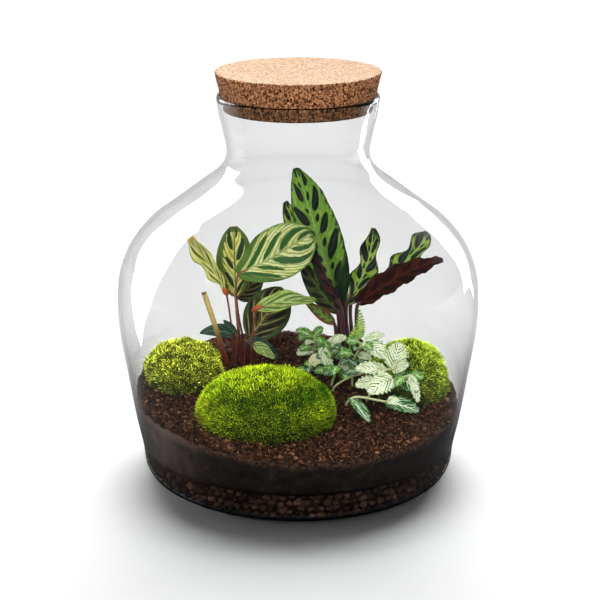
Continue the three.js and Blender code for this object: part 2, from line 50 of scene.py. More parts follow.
def setCamera():
    camera = bpy.data.objects.new("photoCamera", bpy.data.cameras.new("photoCamera"))
    camera.location = Vector(photoCamera["spot"]) * mm
    camera.rotation_euler = (math.radians(90 - photoCamera["lookDown"]), 0, 0)
    camera.data.lens = photoCamera["lens"]
    camera.data.clip_start = 0.05
    scene.collection.objects.link(camera)
    scene.camera = camera


def meshOf(bm, name):
    mesh = bpy.data.meshes.new(name)
    bm.to_mesh(mesh)
    bm.free()
    return mesh


def keepPiece(bm, name, materials, slot, replaced=()):
    return keepMesh(meshOf(bm, name), name, materials, slot, replaced)


def keepMesh(mesh, name, materials, slot, replaced=(), smooth=True):
    piece = bpy.data.objects.new(name, mesh)
    scene.collection.objects.link(piece)
    for material in materials:
        mesh.materials.append(material)
    mesh.polygons.foreach_set("use_smooth", [smooth] * len(mesh.polygons))
    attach(piece, "root")
    if replaced:
        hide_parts(*replaced)
    return piece


# Spots along a smooth curve through all the points, evenly spaced.
def curveThrough(points, steps):
    spots = [Vector(p) for p in points]
    spots = [2 * spots[0] - spots[1]] + spots + [2 * spots[-1] - spots[-2]]
    between = 16       # short steps from one point to the next
    knots = [0.0]
    for a, b in zip(spots, spots[1:]):
        knots.append(knots[-1] + max((b - a).length, 1e-9) ** 0.5)
    line = []
    for k in range(1, len(spots) - 2):
        t0, t1, t2, t3 = knots[k - 1:k + 3]
        a, b, c, d = spots[k - 1:k + 3]
        for i in range(between):
            t = t1 + (t2 - t1) * i / between
            ab = a.lerp(b, (t - t0) / (t1 - t0))
            bc = b.lerp(c, (t - t1) / (t2 - t1))
            cd = c.lerp(d, (t - t2) / (t3 - t2))
            abc = ab.lerp(bc, (t - t0) / (t2 - t0))
            bcd = bc.lerp(cd, (t - t1) / (t3 - t1))
            line.append(abc.lerp(bcd, (t - t1) / (t2 - t1)))
    line.append(spots[-2])
    lengths = np.cumsum([0.0] + [(b - a).length for a, b in zip(line, line[1:])])
    table = np.array(line)
    wanted = np.linspace(0, lengths[-1], steps + 1)
    return [Vector(np.interp(w, lengths, table[:, axis]) for axis in range(3)) for w in wanted]


# A round bar drawn along a line by extruding its end face again and again.
def drawBar(bm, line, radii, sides=8):
    frames = []
    side = None
    for k, spot in enumerate(line):
        along = (line[min(k + 1, len(line) - 1)] - line[max(k - 1, 0)]).normalized()
        side = side or along.orthogonal()
        side = (side - along * side.dot(along)).normalized()
        turn = Matrix((side, along.cross(side), along)).transposed().to_4x4()
        frames.append(Matrix.Translation(spot) @ turn @ Matrix.Diagonal((radii[k], radii[k], 1, 1)))
    ring = bmesh.ops.create_circle(bm, cap_ends=True, segments=sides, radius=1, matrix=frames[0])
    face = ring["verts"][0].link_faces[0]
    for k in range(1, len(line)):
        grown = bmesh.ops.extrude_face_region(bm, geom=[face], use_keep_orig=(k == 1))["geom"]
        tops = [part for part in grown if isinstance(part, bmesh.types.BMFace)]
        if k > 1 and face.is_valid:
            bm.faces.remove(face)
        face = tops[0]
        bmesh.ops.transform(bm, matrix=frames[k] @ frames[k - 1].inverted(), verts=face.verts)


# A profile of radii and heights in mm, turned all the way round.
def spinProfile(bm, profile, steps):
    spots = [bm.verts.new((radius * mm, 0, height * mm)) for radius, height in profile]
    edges = [bm.edges.new(pair) for pair in zip(spots, spots[1:])]
    bmesh.ops.spin(bm, geom=spots + edges, axis=up, cent=(0, 0, 0), dvec=(0, 0, 0),
                   angle=2 * math.pi, steps=steps, use_merge=True, use_duplicate=False)
    bmesh.ops.remove_doubles(bm, verts=bm.verts, dist=1e-6)
    bmesh.ops.recalc_face_normals(bm, faces=bm.faces)
    if bm.calc_volume(signed=True) < 0:
        bmesh.ops.reverse_faces(bm, faces=bm.faces)


# One small template copied to many places, each turned, scaled and given its own tint from 0 to 1.
def scatter(templates, places):
    rng = np.random.default_rng(11)
    allSpots, allFaces, heights, tints, base = [], [], [], [], 0
    shapes = []
    for template in templates:
        template.verts.index_update()
        spots = np.array([v.co for v in template.verts])
        tall = (spots[:, 2] - spots[:, 2].min()) / max(np.ptp(spots[:, 2]), 1e-9)
        own = template.verts.layers.float.get("own")
        own = np.array([v[own] if own else 0.5 for v in template.verts])
        shapes.append((spots, [[v.index for v in f.verts] for f in template.faces], tall, own))
    for index, place in enumerate(places):
        spots, faces, tall, own = shapes[index % len(shapes)]
        turned = spots @ place[:3, :3].T + place[:3, 3]
        allSpots.append(turned)
        allFaces += [[base + corner for corner in face] for face in faces]
        heights.append(tall)
        shared = rng.random()
        tints.append(0.5 * (own + shared) if own.std() > 0 else np.full(len(spots), shared))
        base += len(spots)
    mesh = bpy.data.meshes.new("scattered")
    mesh.from_pydata(np.concatenate(allSpots).tolist(), [], allFaces)
    mesh.attributes.new("rise", "FLOAT", "POINT").data.foreach_set("value", np.concatenate(heights))
    mesh.attributes.new("tint", "FLOAT", "POINT").data.foreach_set("value", np.concatenate(tints))
    for template in templates:
        template.free()
    return mesh


# A place that stands on a spot along a direction, spun about it and scaled.
def standOn(spot, direction, spin, size):
    direction = direction / np.linalg.norm(direction)
    helper = np.array((1.0, 0, 0)) if abs(direction[0]) < 0.9 else np.array((0, 1.0, 0))
    side = np.cross(direction, helper)
    side /= np.linalg.norm(side)
    other = np.cross(direction, side)
    x = math.cos(spin) * side + math.sin(spin) * other
    y = np.cross(direction, x)
    place = np.eye(4)
    place[:3, 0], place[:3, 1], place[:3, 2] = x * size[0], y * size[1], direction * size[2]
    place[:3, 3] = spot
    return place


def newMaterial(name, roughness=0.6, **sockets):
    material = bpy.data.materials.new(name)
    material.use_nodes = True
    surface = material.node_tree.nodes["Principled BSDF"]
    surface.inputs["Roughness"].default_value = roughness
    for socket, value in sockets.items():
        surface.inputs[socket.replace("_", " ")].default_value = value
    return material, material.node_tree, surface


def put(tree, kind, inputs=None, **settings):
    node = tree.nodes.new("ShaderNode" + kind)
    for key, value in settings.items():
        setattr(node, key, value)
    for socket, value in (inputs or {}).items():
        if isinstance(value, bpy.types.NodeSocket):
            tree.links.new(value, node.inputs[socket])
        else:
            node.inputs[socket].default_value = value
    return node


def sums(tree, operation, *values):
    return put(tree, "Math", dict(enumerate(values)), operation=operation).outputs[0]


# 0 at low and 1 at high, smoothly in between; low may be above high.
def step(tree, value, low, high):
    return put(tree, "MapRange", {"Value": value, "From Min": low, "From Max": high},
               interpolation_type="SMOOTHSTEP").outputs[0]


def blend(tree, share, first, second, kind="MIX"):
    node = put(tree, "Mix", data_type="RGBA", blend_type=kind, clamp_factor=True)
    for socket, value in ((0, share), (6, first), (7, second)):
        if isinstance(value, bpy.types.NodeSocket):
            tree.links.new(value, node.inputs[socket])
        else:
            node.inputs[socket].default_value = value if socket == 0 else (*value, 1)
    return node.outputs[2]


def ramp(tree, value, stops):
    node = put(tree, "ValToRGB", {"Fac": value})
    band = node.color_ramp
    while len(band.elements) < len(stops):
        band.elements.new(0.5)
    for element, (place, color) in zip(band.elements, stops):
        element.position = place
        element.color = (*color, 1)
    return node.outputs["Color"]


def objectPlace(tree):
    return put(tree, "TexCoord").outputs["Object"]


def axisOf(tree, axis):
    return put(tree, "SeparateXYZ", {"Vector": objectPlace(tree)}).outputs[axis]


def attributeOf(tree, name):
    return put(tree, "Attribute", attribute_name=name).outputs["Fac"]


def clouds(tree, scale, detail=4, where=None, roughness=0.55):
    return put(tree, "TexNoise", {"Vector": where or objectPlace(tree), "Scale": scale, "Detail": detail,
                                  "Roughness": roughness}).outputs["Fac"]


def bumpy(tree, surface, height, strength, distance):
    bump = put(tree, "Bump", {"Height": height, "Strength": strength, "Distance": distance})
    tree.links.new(bump.outputs["Normal"], surface.inputs["Normal"])


def colorOf(tree, surface, color):
    tree.links.new(color, surface.inputs["Base Color"])


glassJar = {
    # radii and heights, most radii within 1 mm of what that fit gave
    "outline": [(108, 0), (114.6, 1.8), (117.8, 7), (119.4, 20), (124.3, 45), (129.6, 80), (134, 110),
                (135, 130), (133.6, 150), (130.4, 162), (124.2, 175), (111, 191), (92.4, 205), (72.6, 220),
                (58.4, 231), (53.2, 239), (52.3, 247), (54.4, 258), (57.5, 272), (59.3, 284)],
    "heel": [(107.8, 1.8), (113.5, 3.1), (116.1, 7.8)],       # inside, above the base
    "wall": 2.6, "base": 1.8, "flat": 60, "rim": 286, "steps": 192, "smooth": 120,
}


def smoothOutline(points, steps):
    line = curveThrough([(radius, 0, height) for radius, height in points], steps)
    return [(spot.x, spot.z) for spot in line]


def insideOutline():
    outline, wall = glassJar["outline"], glassJar["wall"]
    inner = list(glassJar["heel"])
    for i in range(len(inner), len(outline)):
        (r0, h0), (r1, h1) = outline[i - 1], outline[min(i + 1, len(outline) - 1)]
        run = math.hypot(r1 - r0, h1 - h0)
        radius, height = outline[i]
        inner.append((radius - wall * (h1 - h0) / run, height + wall * (r1 - r0) / run))
    return inner


glassInside = insideOutline()


def insideRadius(height):
    return float(np.interp(height, [h for _, h in glassInside], [r for r, _ in glassInside]))


def clearGlass():
    material, tree, surface = newMaterial("clearGlass", 0.0, IOR=1.45, Transmission_Weight=1.0)
    surface.inputs["Base Color"].default_value = (0.93, 0.936, 0.933, 1)
    waves = clouds(tree, 9, 1)        # blown glass is never quite even
    bumpy(tree, surface, waves, 0.05, 0.004)
    # Lamps shine straight through the wall.
    path = put(tree, "LightPath").outputs["Is Shadow Ray"]
    through = put(tree, "BsdfTransparent", {"Color": (0.97, 0.98, 0.975, 1)})
    mix = put(tree, "MixShader", {0: path, 1: surface.outputs["BSDF"], 2: through.outputs[0]})
    tree.links.new(mix.outputs[0], tree.nodes["Material Output"].inputs["Surface"])
    return material


def makeJar():
    rim, base, flat = glassJar["rim"], glassJar["base"], glassJar["flat"]
    outer = smoothOutline(glassJar["outline"], glassJar["smooth"])
    inner = smoothOutline(glassInside, glassJar["smooth"])
    mouth, lip = outer[-1], inner[-1]
    middle = (mouth[0] + lip[0]) / 2
    roundLip = [(mouth[0] - 0.25, rim - 0.8), (middle + 0.5, rim - 0.1), (middle, rim),
                (middle - 0.5, rim - 0.1)]
    profile = [(0, 0), (flat, 0), *outer, *roundLip, *reversed(inner), (flat, base), (0, base)]
    bm = bmesh.new()
    spinProfile(bm, profile, glassJar["steps"])
    return keepPiece(bm, "glassJar", [clearGlass()], "glass", ["glass_jar"])


corkStopper = {"bottom": 275.4, "top": 303.5, "lowRadius": 54.3, "highRadius": 60.5, "edge": 1.2,
               "steps": 480, "grain": 1.7, "pit": 0.5, "chip": 1.1}


def corkFace(name, light, dark, holes, scale, mouthTone=1.0):
    material, tree, surface = newMaterial(name, 0.9, Specular_IOR_Level=0.1)
    where = objectPlace(tree)
    grains = put(tree, "TexVoronoi", {"Vector": where, "Scale": scale, "Randomness": 1.0})
    edges = put(tree, "TexVoronoi", {"Vector": where, "Scale": scale, "Randomness": 1.0},
                feature="DISTANCE_TO_EDGE").outputs["Distance"]
    shade = put(tree, "SeparateColor", {"Color": grains.outputs["Color"]}).outputs[0]
    color = ramp(tree, shade, [(0.0, dark), (0.35, light), (0.75, [min(1, 1.3 * c) for c in light]),
                               (0.93, [min(1, 1.6 * c) for c in light]), (1.0, dark)])
    fine = clouds(tree, 1500, 3)
    color = blend(tree, step(tree, fine, 0.5, 0.66), color, [0.55 * c for c in light])
    color = blend(tree, step(tree, edges, 0.09, 0.0), color, [0.4 * c for c in dark])
    gaps = step(tree, clouds(tree, 620, 3), holes, holes + 0.07)
    color = blend(tree, gaps, color, [0.22 * c for c in dark])
    low = step(tree, axisOf(tree, 2), 0.2865, 0.2845)
    color = blend(tree, low, color, (mouthTone, mouthTone, mouthTone), "MULTIPLY")      # darker inside the mouth
    colorOf(tree, surface, color)
    height = sums(tree, "SUBTRACT", sums(tree, "MULTIPLY", step(tree, edges, 0.0, 0.12), 0.6), gaps)
    bumpy(tree, surface, sums(tree, "ADD", height, sums(tree, "MULTIPLY", fine, 0.5)), 0.6, 0.0005)
    return material


def makeCork():
    low, high, edge = corkStopper["bottom"], corkStopper["top"], corkStopper["edge"]

    def radiusAt(height):
        share = (height - low) / (high - low)
        return corkStopper["lowRadius"] + share * (corkStopper["highRadius"] - corkStopper["lowRadius"])

    profile = [(r, low) for r in np.linspace(0, radiusAt(low) - edge, 8)]
    profile += [(radiusAt(h), h) for h in np.linspace(low + edge, high - edge, 36)]
    profile += [(radiusAt(high) - 0.3 * edge, high - 0.4 * edge), (radiusAt(high) - edge, high)]
    profile += [(r, high) for r in np.linspace(radiusAt(high) - 2 * edge, 0, 34)]
    bm = bmesh.new()
    spinProfile(bm, profile, corkStopper["steps"])
    bm.normal_update()
    grain, pit, chip = corkStopper["grain"] * mm, corkStopper["pit"] * mm, corkStopper["chip"] * mm
    moves = []
    for vert in bm.verts:
        near = noise.voronoi(vert.co / grain)[0]
        ridge = min((near[1] - near[0]) / 0.35, 1)       # 0 between two grains, 1 on one
        rough = 1.0 if abs(vert.normal.z) < 0.85 else 0.3
        move = vert.normal * (-pit * rough * (1 - ridge) - 0.25 * pit * noise.noise(vert.co * 1400))
        out = math.hypot(vert.co.x, vert.co.y)
        if vert.co.z > (high - 1.6 * edge) * mm and out > (radiusAt(high) - 1.6) * mm:
            lost = max(0, noise.noise(vert.co * 330) - 0.05) * 2      # chipped rim
            move -= vert.normal * chip * min(lost, 1)
        moves.append(move)
    for vert, move in zip(bm.verts, moves):
        vert.co += move
    for face in bm.faces:
        face.material_index = 1 if face.normal.z > 0.6 else 0
    side = corkFace("corkSide", (0.34, 0.15, 0.064), (0.055, 0.019, 0.0075), 0.53, 640, 0.66)
    top = corkFace("corkTop", (0.43, 0.3, 0.21), (0.31, 0.185, 0.105), 0.68, 720)
    keepPiece(bm, "corkStopper", [side, top], "cork", ["cork_stopper"])


soilBed = {"bottom": 23.4, "middle": 57, "back": 4.8, "left": 5, "sag": 2.6, "reach": 120, "clear": 0.35,
           "lump": (-9, 88, 13, 12), "pitch": 0.19, "clods": (0.9, 0.54), "crumbs": 8500, "fibres": 15000,
           "level": 58.0, "rings": 70, "steps": 200}
pebbleBed = {"bottom": 2.2, "top": 23, "rows": (5.2, 10.2, 15.3, 20.3), "size": 3.3, "spread": 6.6,
             "uneven": 1.4, "steps": 128}


def soilTop(x, y):
    across, back = x / soilBed["reach"], y / soilBed["reach"]
    slope = soilBed["back"] * back - soilBed["left"] * across + soilBed["sag"] * (across ** 2 - back ** 2)
    lumpX, lumpY, height, spread = soilBed["lump"]
    lump = height * math.exp(-((x - lumpX) ** 2 + (y - lumpY) ** 2) / (2 * spread ** 2))
    pitch, (coarse, fine) = soilBed["pitch"], soilBed["clods"]
    clods = coarse * math.sin(pitch * x + 1) * math.cos(pitch * y) + fine * math.sin(2 * pitch * (x - y))
    return soilBed["middle"] + slope + lump + clods


def soilMaterial(name, lift):
    material, tree, surface = newMaterial(name, 0.95, Specular_IOR_Level=0.06)
    coarse = clouds(tree, 160, 6, roughness=0.75)
    stops = [(0.32, (0.004, 0.002, 0.0012)), (0.48, (0.014, 0.0062, 0.0034)), (0.6, (0.05, 0.02, 0.0105)),
             (0.72, (0.11, 0.047, 0.025))]
    color = ramp(tree, coarse, [(place, [lift * c for c in shade]) for place, shade in stops])
    flecks = step(tree, clouds(tree, 520, 2), 0.64, 0.72)
    colorOf(tree, surface, blend(tree, flecks, color, [lift * c for c in (0.13, 0.058, 0.03)]))
    bumpy(tree, surface, clouds(tree, 420, 5, roughness=0.75), 1.0, 0.0016)
    return material


# Wet soil pressed against the glass: nearly black, browner here and there, and paler on the left by a painted
# reflection.
def pressedSoil():
    material, tree, surface = newMaterial("pressedSoil", 0.9, Specular_IOR_Level=0.05)
    under = attributeOf(tree, "under")       # mm below the brim
    color = ramp(tree, clouds(tree, 90, 7, roughness=0.8), [(0.38, (0.0045, 0.0032, 0.0026)),
                                                           (0.55, (0.011, 0.0076, 0.006)),
                                                           (0.72, (0.032, 0.018, 0.013))])
    brim = sums(tree, "MULTIPLY_ADD", clouds(tree, 110, 5, roughness=0.75), -11.0, under)
    crumbly = ramp(tree, clouds(tree, 420, 4), [(0.35, (0.008, 0.005, 0.004)), (0.6, (0.06, 0.03, 0.019))])
    color = blend(tree, step(tree, brim, 1.5, -4.5), color, crumbly)
    # Painted reflection: the soil turns paler and greyer on the left, where the glass mirrors white.
    left = step(tree, axisOf(tree, 0), -0.055, -0.125)
    color = blend(tree, sums(tree, "MULTIPLY", left, 0.95), color,
                  ramp(tree, clouds(tree, 90, 5), [(0.3, (0.07, 0.05, 0.047)), (0.7, (0.14, 0.098, 0.088))]))
    colorOf(tree, surface, color)
    bumpy(tree, surface, clouds(tree, 300, 4), 0.5, 0.0008)
    return material


# Crumbs and fibres turn paler and more varied towards the back.
def paleTowardsBack(tree, color):
    back = step(tree, axisOf(tree, 1), 0.055, 0.09)
    return blend(tree, sums(tree, "MULTIPLY", back, 0.85), color,
                 ramp(tree, clouds(tree, 260, 3), [(0.35, (0.03, 0.013, 0.009)), (0.65, (0.22, 0.1, 0.07))]))


def crumbMaterial(name, stops):
    material, tree, surface = newMaterial(name, 0.92, Specular_IOR_Level=0.08)
    tint = attributeOf(tree, "tint")
    color = ramp(tree, tint, stops)
    color = blend(tree, step(tree, clouds(tree, 300, 3), 0.35, 0.75), color, (0.45, 0.45, 0.45), "MULTIPLY")
    if name.startswith("soil"):
        color = paleTowardsBack(tree, color)
    colorOf(tree, surface, color)
    bumpy(tree, surface, clouds(tree, 700, 3), 0.5, 0.0006)
    return material


def makeSoil():
    bottom, clear = soilBed["bottom"], soilBed["clear"]
    level, rings = soilBed["level"], soilBed["rings"]
    heights = np.linspace(bottom, 50, 9)
    profile = [(0, bottom)] + [(insideRadius(h) - clear, h) for h in heights]
    edge = insideRadius(soilBed["middle"])
    profile += [(edge * k / rings, level) for k in range(rings, -1, -1)]
    bm = bmesh.new()
    spinProfile(bm, profile, soilBed["steps"])
    under = bm.verts.layers.float.new("under")
    for vert in bm.verts:
        x, y, z = vert.co / mm
        turn = math.atan2(y, x)
        rim = soilTop(edge * math.cos(turn), edge * math.sin(turn))
        vert[under] = max(rim - z, 0)
        if z > level - 0.1:
            share = math.hypot(x, y) / edge
            vert[under] = 0
            reach = share * (insideRadius(rim) - clear)
            x, y = reach * math.cos(turn), reach * math.sin(turn)
            rough = 1.7 * noise.fractal(Vector((x, y, 0)) * 0.24, 0.7, 2.3, 5)
            if share > 0.99:
                rough += 1.8 * noise.noise(Vector((x, y, 7)) * 0.16)
            vert.co = Vector((x, y, soilTop(x, y) + rough)) * mm
    bm.normal_update()
    for face in bm.faces:
        face.material_index = 1 if abs(face.normal.z) < 0.45 else 0
    keepPiece(bm, "pottingSoil", [soilMaterial("looseSoil", 1.0), pressedSoil()], "soil", ["potting_soil"])


def crumbTemplates():
    shapes = []
    for seed in range(4):
        bm = bmesh.new()
        bmesh.ops.create_icosphere(bm, subdivisions=1, radius=1)
        for vert in bm.verts:
            vert.co *= 1 + 0.45 * noise.noise(vert.co * 1.3 + Vector((seed * 7.1, 0, 0)))
        shapes.append(bm)
    return shapes


def fibreTemplates():
    shapes = []
    for bend in (0.12, -0.2, 0.3):
        bm = bmesh.new()
        bmesh.ops.create_uvsphere(bm, u_segments=3, v_segments=3, radius=0.5,
                                  matrix=Matrix.Rotation(math.radians(90), 4, "Y"))
        for vert in bm.verts:
            vert.co.z = vert.co.z * 0.06 + bend * math.cos(3 * vert.co.x) * 1.2
            vert.co.y = vert.co.y * 0.18 + 0.35 * bend * math.sin(5 * vert.co.x)
        shapes.append(bm)
    return shapes


def onBareSoil(x, y):
    for cushion in mossCushions.values():
        if ((x - cushion["x"]) / cushion["rx"]) ** 2 + ((y - cushion["y"]) / cushion["ry"]) ** 2 < 0.9:
            return False
    return True


# A chance spot between the cushions, a margin away from the glass.
def bareSpot(rng, margin):
    while True:
        turn, share = rng.uniform(0, 2 * math.pi), math.sqrt(rng.random())
        reach = share * (insideRadius(soilBed["middle"]) - margin)
        x, y = reach * math.cos(turn), reach * math.sin(turn)
        if onBareSoil(x, y):
            return x, y


def chanceLean(rng, lean):
    return np.array((rng.gauss(0, lean), rng.gauss(0, lean), 1))


def chanceSize(rng, size, *ranges):
    return np.array([rng.uniform(*limits) for limits in ranges]) * size * mm


def makeSoilLitter():
    rng = random.Random(3)
    crumbs, fibres = [], []
    for _ in range(soilBed["crumbs"]):
        x, y = bareSpot(rng, 1.5)
        size = rng.choice((0.5, 0.6, 0.8, 1.0, 1.5)) * rng.uniform(0.8, 1.3)
        spot = np.array((x, y, soilTop(x, y) + rng.uniform(-0.3, 0.9))) * mm
        shape = chanceSize(rng, size, (0.7, 1.5), (0.6, 1.1), (0.5, 0.9))
        crumbs.append(standOn(spot, chanceLean(rng, 0.5), rng.uniform(0, 6.28), shape))
    for _ in range(soilBed["fibres"]):
        x, y = bareSpot(rng, 3)
        length = rng.uniform(1.3, 4.2) * mm
        spot = np.array((x, y, soilTop(x, y) + rng.uniform(0.2, 1.3))) * mm
        tilt = chanceLean(rng, 0.6)
        fibres.append(standOn(spot, tilt, rng.uniform(0, 6.28), (length, length, length)))
    crumbLook = crumbMaterial("soilCrumbs", [(0.0, (0.004, 0.0018, 0.0009)), (0.5, (0.018, 0.006, 0.0022)),
                                             (0.85, (0.08, 0.029, 0.0105)), (1.0, (0.28, 0.135, 0.065))])
    fibreLook = crumbMaterial("soilFibres", [(0.0, (0.005, 0.002, 0.001)), (0.5, (0.028, 0.009, 0.003)),
                                             (0.85, (0.17, 0.057, 0.02)), (1.0, (0.48, 0.23, 0.11))])
    keepMesh(scatter(crumbTemplates(), crumbs), "soilCrumbs", [crumbLook], "soil", smooth=False)
    keepMesh(scatter(fibreTemplates(), fibres), "soilFibres", [fibreLook], "soil")


def makePebbles():
    rng = random.Random(5)
    core = bmesh.new()
    bottom, top = pebbleBed["bottom"], pebbleBed["top"]
    levels = np.linspace(bottom, top, 6)
    profile = [(0, bottom)] + [(insideRadius(h) - 4.2, h) for h in levels] + [(0, top)]
    spinProfile(core, profile, pebbleBed["steps"])
    keepPiece(core, "pebbleGrit", [soilMaterial("darkGrit", 0.7)], "pebbles")
    stones = []
    for row, height in enumerate(pebbleBed["rows"]):
        count = int(2 * math.pi * (insideRadius(height) - 3) / pebbleBed["spread"])
        for k in range(count):
            size = pebbleBed["size"] * rng.uniform(0.6, 1.15)
            reach = insideRadius(height) - 0.5 - size * rng.uniform(0.95, 1.3)
            turn = 2 * math.pi * (k + 0.5 * (row % 2) + rng.uniform(-0.2, 0.2)) / count
            tall = min(height + rng.uniform(-pebbleBed["uneven"], pebbleBed["uneven"]), top - 0.9)
            tall = max(tall, bottom + size * 0.8)
            spot = np.array((reach * math.cos(turn), reach * math.sin(turn), tall)) * mm
            shape = chanceSize(rng, size, (0.85, 1.2), (0.75, 1.0), (0.65, 0.9))
            stones.append(standOn(spot, chanceLean(rng, 0.6), rng.uniform(0, 6.28), shape))
    shapes = []
    for seed in range(5):
        bm = bmesh.new()
        bmesh.ops.create_icosphere(bm, subdivisions=2, radius=1)
        for vert in bm.verts:
            vert.co *= 1 + 0.42 * noise.noise(vert.co * 1.4 + Vector((seed * 5.3, 1, 0)))
        shapes.append(bm)
    look = crumbMaterial("pebbles", [(0.0, (0.01, 0.006, 0.005)), (0.45, (0.027, 0.016, 0.0115)),
                                     (0.8, (0.044, 0.025, 0.018)), (0.93, (0.08, 0.036, 0.023)),
                                     (1.0, (0.07, 0.054, 0.044))])
    keepMesh(scatter(shapes, stones), "drainagePebbles", [look], "pebbles", ["drainage_pebbles"])


mossCushions = {
    "front": {"x": -23.8, "y": -50, "rx": 52, "ry": 47.5, "top": 90.5, "tufts": 3000, "needles": 9,
              "reach": 5.2, "width": 0.46, "spread": 0.95, "lumps": 1.3, "slot": "moss_green",
              "sunny": -0.1, "youngAndLitFrom": 0.52,
              "young": (0.5, 0.68, 0.013), "middle": (0.014, 0.1, 0.0008), "deep": (0.004, 0.013, 0.0008),
              "dry": (0.26, 0.21, 0.025)},
    "left": {"x": -89, "y": 14, "rx": 33, "ry": 39, "top": 92, "tufts": 1250, "needles": 12, "reach": 4.4,
             "width": 0.5, "spread": 1.35, "lumps": 4.0, "slot": "moss_yellow",
             "sunny": -0.2, "youngAndLitFrom": 0.12,
             "young": (0.8, 0.9, 0.08), "middle": (0.64, 0.75, 0.045), "deep": (0.03, 0.042, 0.004),
             "dry": (0.6, 0.5, 0.1)},
    "right": {"x": 86, "y": 10.5, "rx": 32, "ry": 38, "top": 92.5, "tufts": 1900, "needles": 8, "reach": 4.2,
              "width": 0.4, "spread": 0.95, "lumps": 1.2, "slot": "moss_yellow",
              "sunny": 0.2, "youngAndLitFrom": 0.12,
              "young": (0.64, 0.82, 0.06), "middle": (0.3, 0.48, 0.018), "deep": (0.01, 0.022, 0.002),
              "dry": (0.42, 0.33, 0.08)},
}
mossSkirt, mossShoulder, mossZone = 2.0, 0.85, 22       # zone: height over which the colour changes


def mossLook(name, cushion):
    material, tree, surface = newMaterial(name, 0.8, Specular_IOR_Level=0.03)
    rise = attributeOf(tree, "rise")
    tint = attributeOf(tree, "tint")
    centre = Vector((cushion["x"], cushion["y"], cushion["top"] - mossZone)) * mm
    size = (1 / (cushion["rx"] * mm), 1 / (cushion["ry"] * mm), 1 / (mossZone * mm))
    fitted = put(tree, "Mapping", {"Vector": objectPlace(tree), "Scale": size,
                                   "Location": tuple(-c * s for c, s in zip(centre, size))})
    parts = put(tree, "SeparateXYZ", {"Vector": fitted.outputs[0]})
    flat = put(tree, "CombineXYZ", {0: parts.outputs[0], 1: parts.outputs[1]}).outputs[0]
    out = put(tree, "VectorMath", {0: flat}, operation="LENGTH").outputs["Value"]
    # Painted light: tips turn paler and yellower towards the cushion's rim, on the side sunny sets and on
    # top; clouds add new growth at random.
    leftward = sums(tree, "MULTIPLY", parts.outputs[0], cushion["sunny"])
    edge = sums(tree, "ADD", sums(tree, "MULTIPLY", step(tree, out, 0.55, 1.0), 0.66), leftward)
    edge = sums(tree, "MULTIPLY_ADD", step(tree, parts.outputs[2], 0.3, 0.98), 0.75, edge)    # painted light: paler on top
    edge = sums(tree, "MULTIPLY_ADD", clouds(tree, 45, 3), 0.55, edge)
    tip = blend(tree, step(tree, edge, cushion["youngAndLitFrom"], 1.1), cushion["middle"], cushion["young"])
    tip = blend(tree, step(tree, clouds(tree, 26, 3), 0.62, 0.76), tip, cushion["dry"])
    bright = sums(tree, "MULTIPLY_ADD", sums(tree, "POWER", tint, 3.0), 5.6, 0.25)
    brightTip = put(tree, "VectorMath", {0: tip}, operation="SCALE")
    tree.links.new(bright, brightTip.inputs["Scale"])
    # Painted shade: each needle darkens towards its foot.
    color = blend(tree, step(tree, rise, 0.3, 0.85), cushion["deep"], brightTip.outputs[0])
    # Painted shade: darker towards the bottom of the cushion.
    low = sums(tree, "MULTIPLY", step(tree, parts.outputs[2], 0.0, -1.0), 0.55)
    color = blend(tree, low, color, cushion["deep"])
    colorOf(tree, surface, color)
    return material


def mossSpot(cushion, turn, rise, sink=0.0):
    skirt = soilTop(cushion["x"], cushion["y"]) + mossSkirt
    out = math.cos(rise) ** mossShoulder
    tall = cushion["top"] - skirt
    place = Vector((math.cos(turn) * out * cushion["rx"], math.sin(turn) * out * cushion["ry"],
                    tall * math.sin(rise)))
    lump = cushion["lumps"] * noise.fractal(place * 0.09, 0.9, 2.1, 3)
    shrink = sink + cushion["lumps"] * 0.5 - lump
    spot = np.array((cushion["x"] + (cushion["rx"] - shrink) * math.cos(turn) * out,
                     cushion["y"] + (cushion["ry"] - shrink) * math.sin(turn) * out,
                     skirt + (tall - shrink) * math.sin(rise)))
    normal = np.array((math.cos(turn) * out / cushion["rx"], math.sin(turn) * out / cushion["ry"],
                       math.sin(rise) / tall))
    return spot, normal / np.linalg.norm(normal)


def tuftTemplates(cushion):
    shapes = []
    rng = random.Random(17)
    for _ in range(5):
        bm = bmesh.new()
        own = bm.verts.layers.float.new("own")
        for k in range(cushion["needles"]):
            lean = cushion["spread"] * math.sqrt(k / cushion["needles"]) * rng.uniform(0.8, 1.2)
            turn = 2.4 * k + rng.uniform(-0.3, 0.3)
            tall = cushion["reach"] * rng.uniform(0.7, 1.15)
            made = bmesh.ops.create_cone(bm, cap_ends=True, segments=3, radius1=cushion["width"],
                                         radius2=0, depth=tall)["verts"]
            shade = rng.random()
            for vert in made:
                vert[own] = shade
            bmesh.ops.translate(bm, verts=made, vec=(0, 0, tall / 2))
            bmesh.ops.scale(bm, verts=made, vec=(1, 0.5, 1))
            bmesh.ops.rotate(bm, verts=made, cent=(0, 0, 0), matrix=Matrix.Rotation(lean, 3, "Y"))
            bmesh.ops.rotate(bm, verts=made, cent=(0, 0, 0), matrix=Matrix.Rotation(turn, 3, "Z"))
        shapes.append(bm)
    return shapes


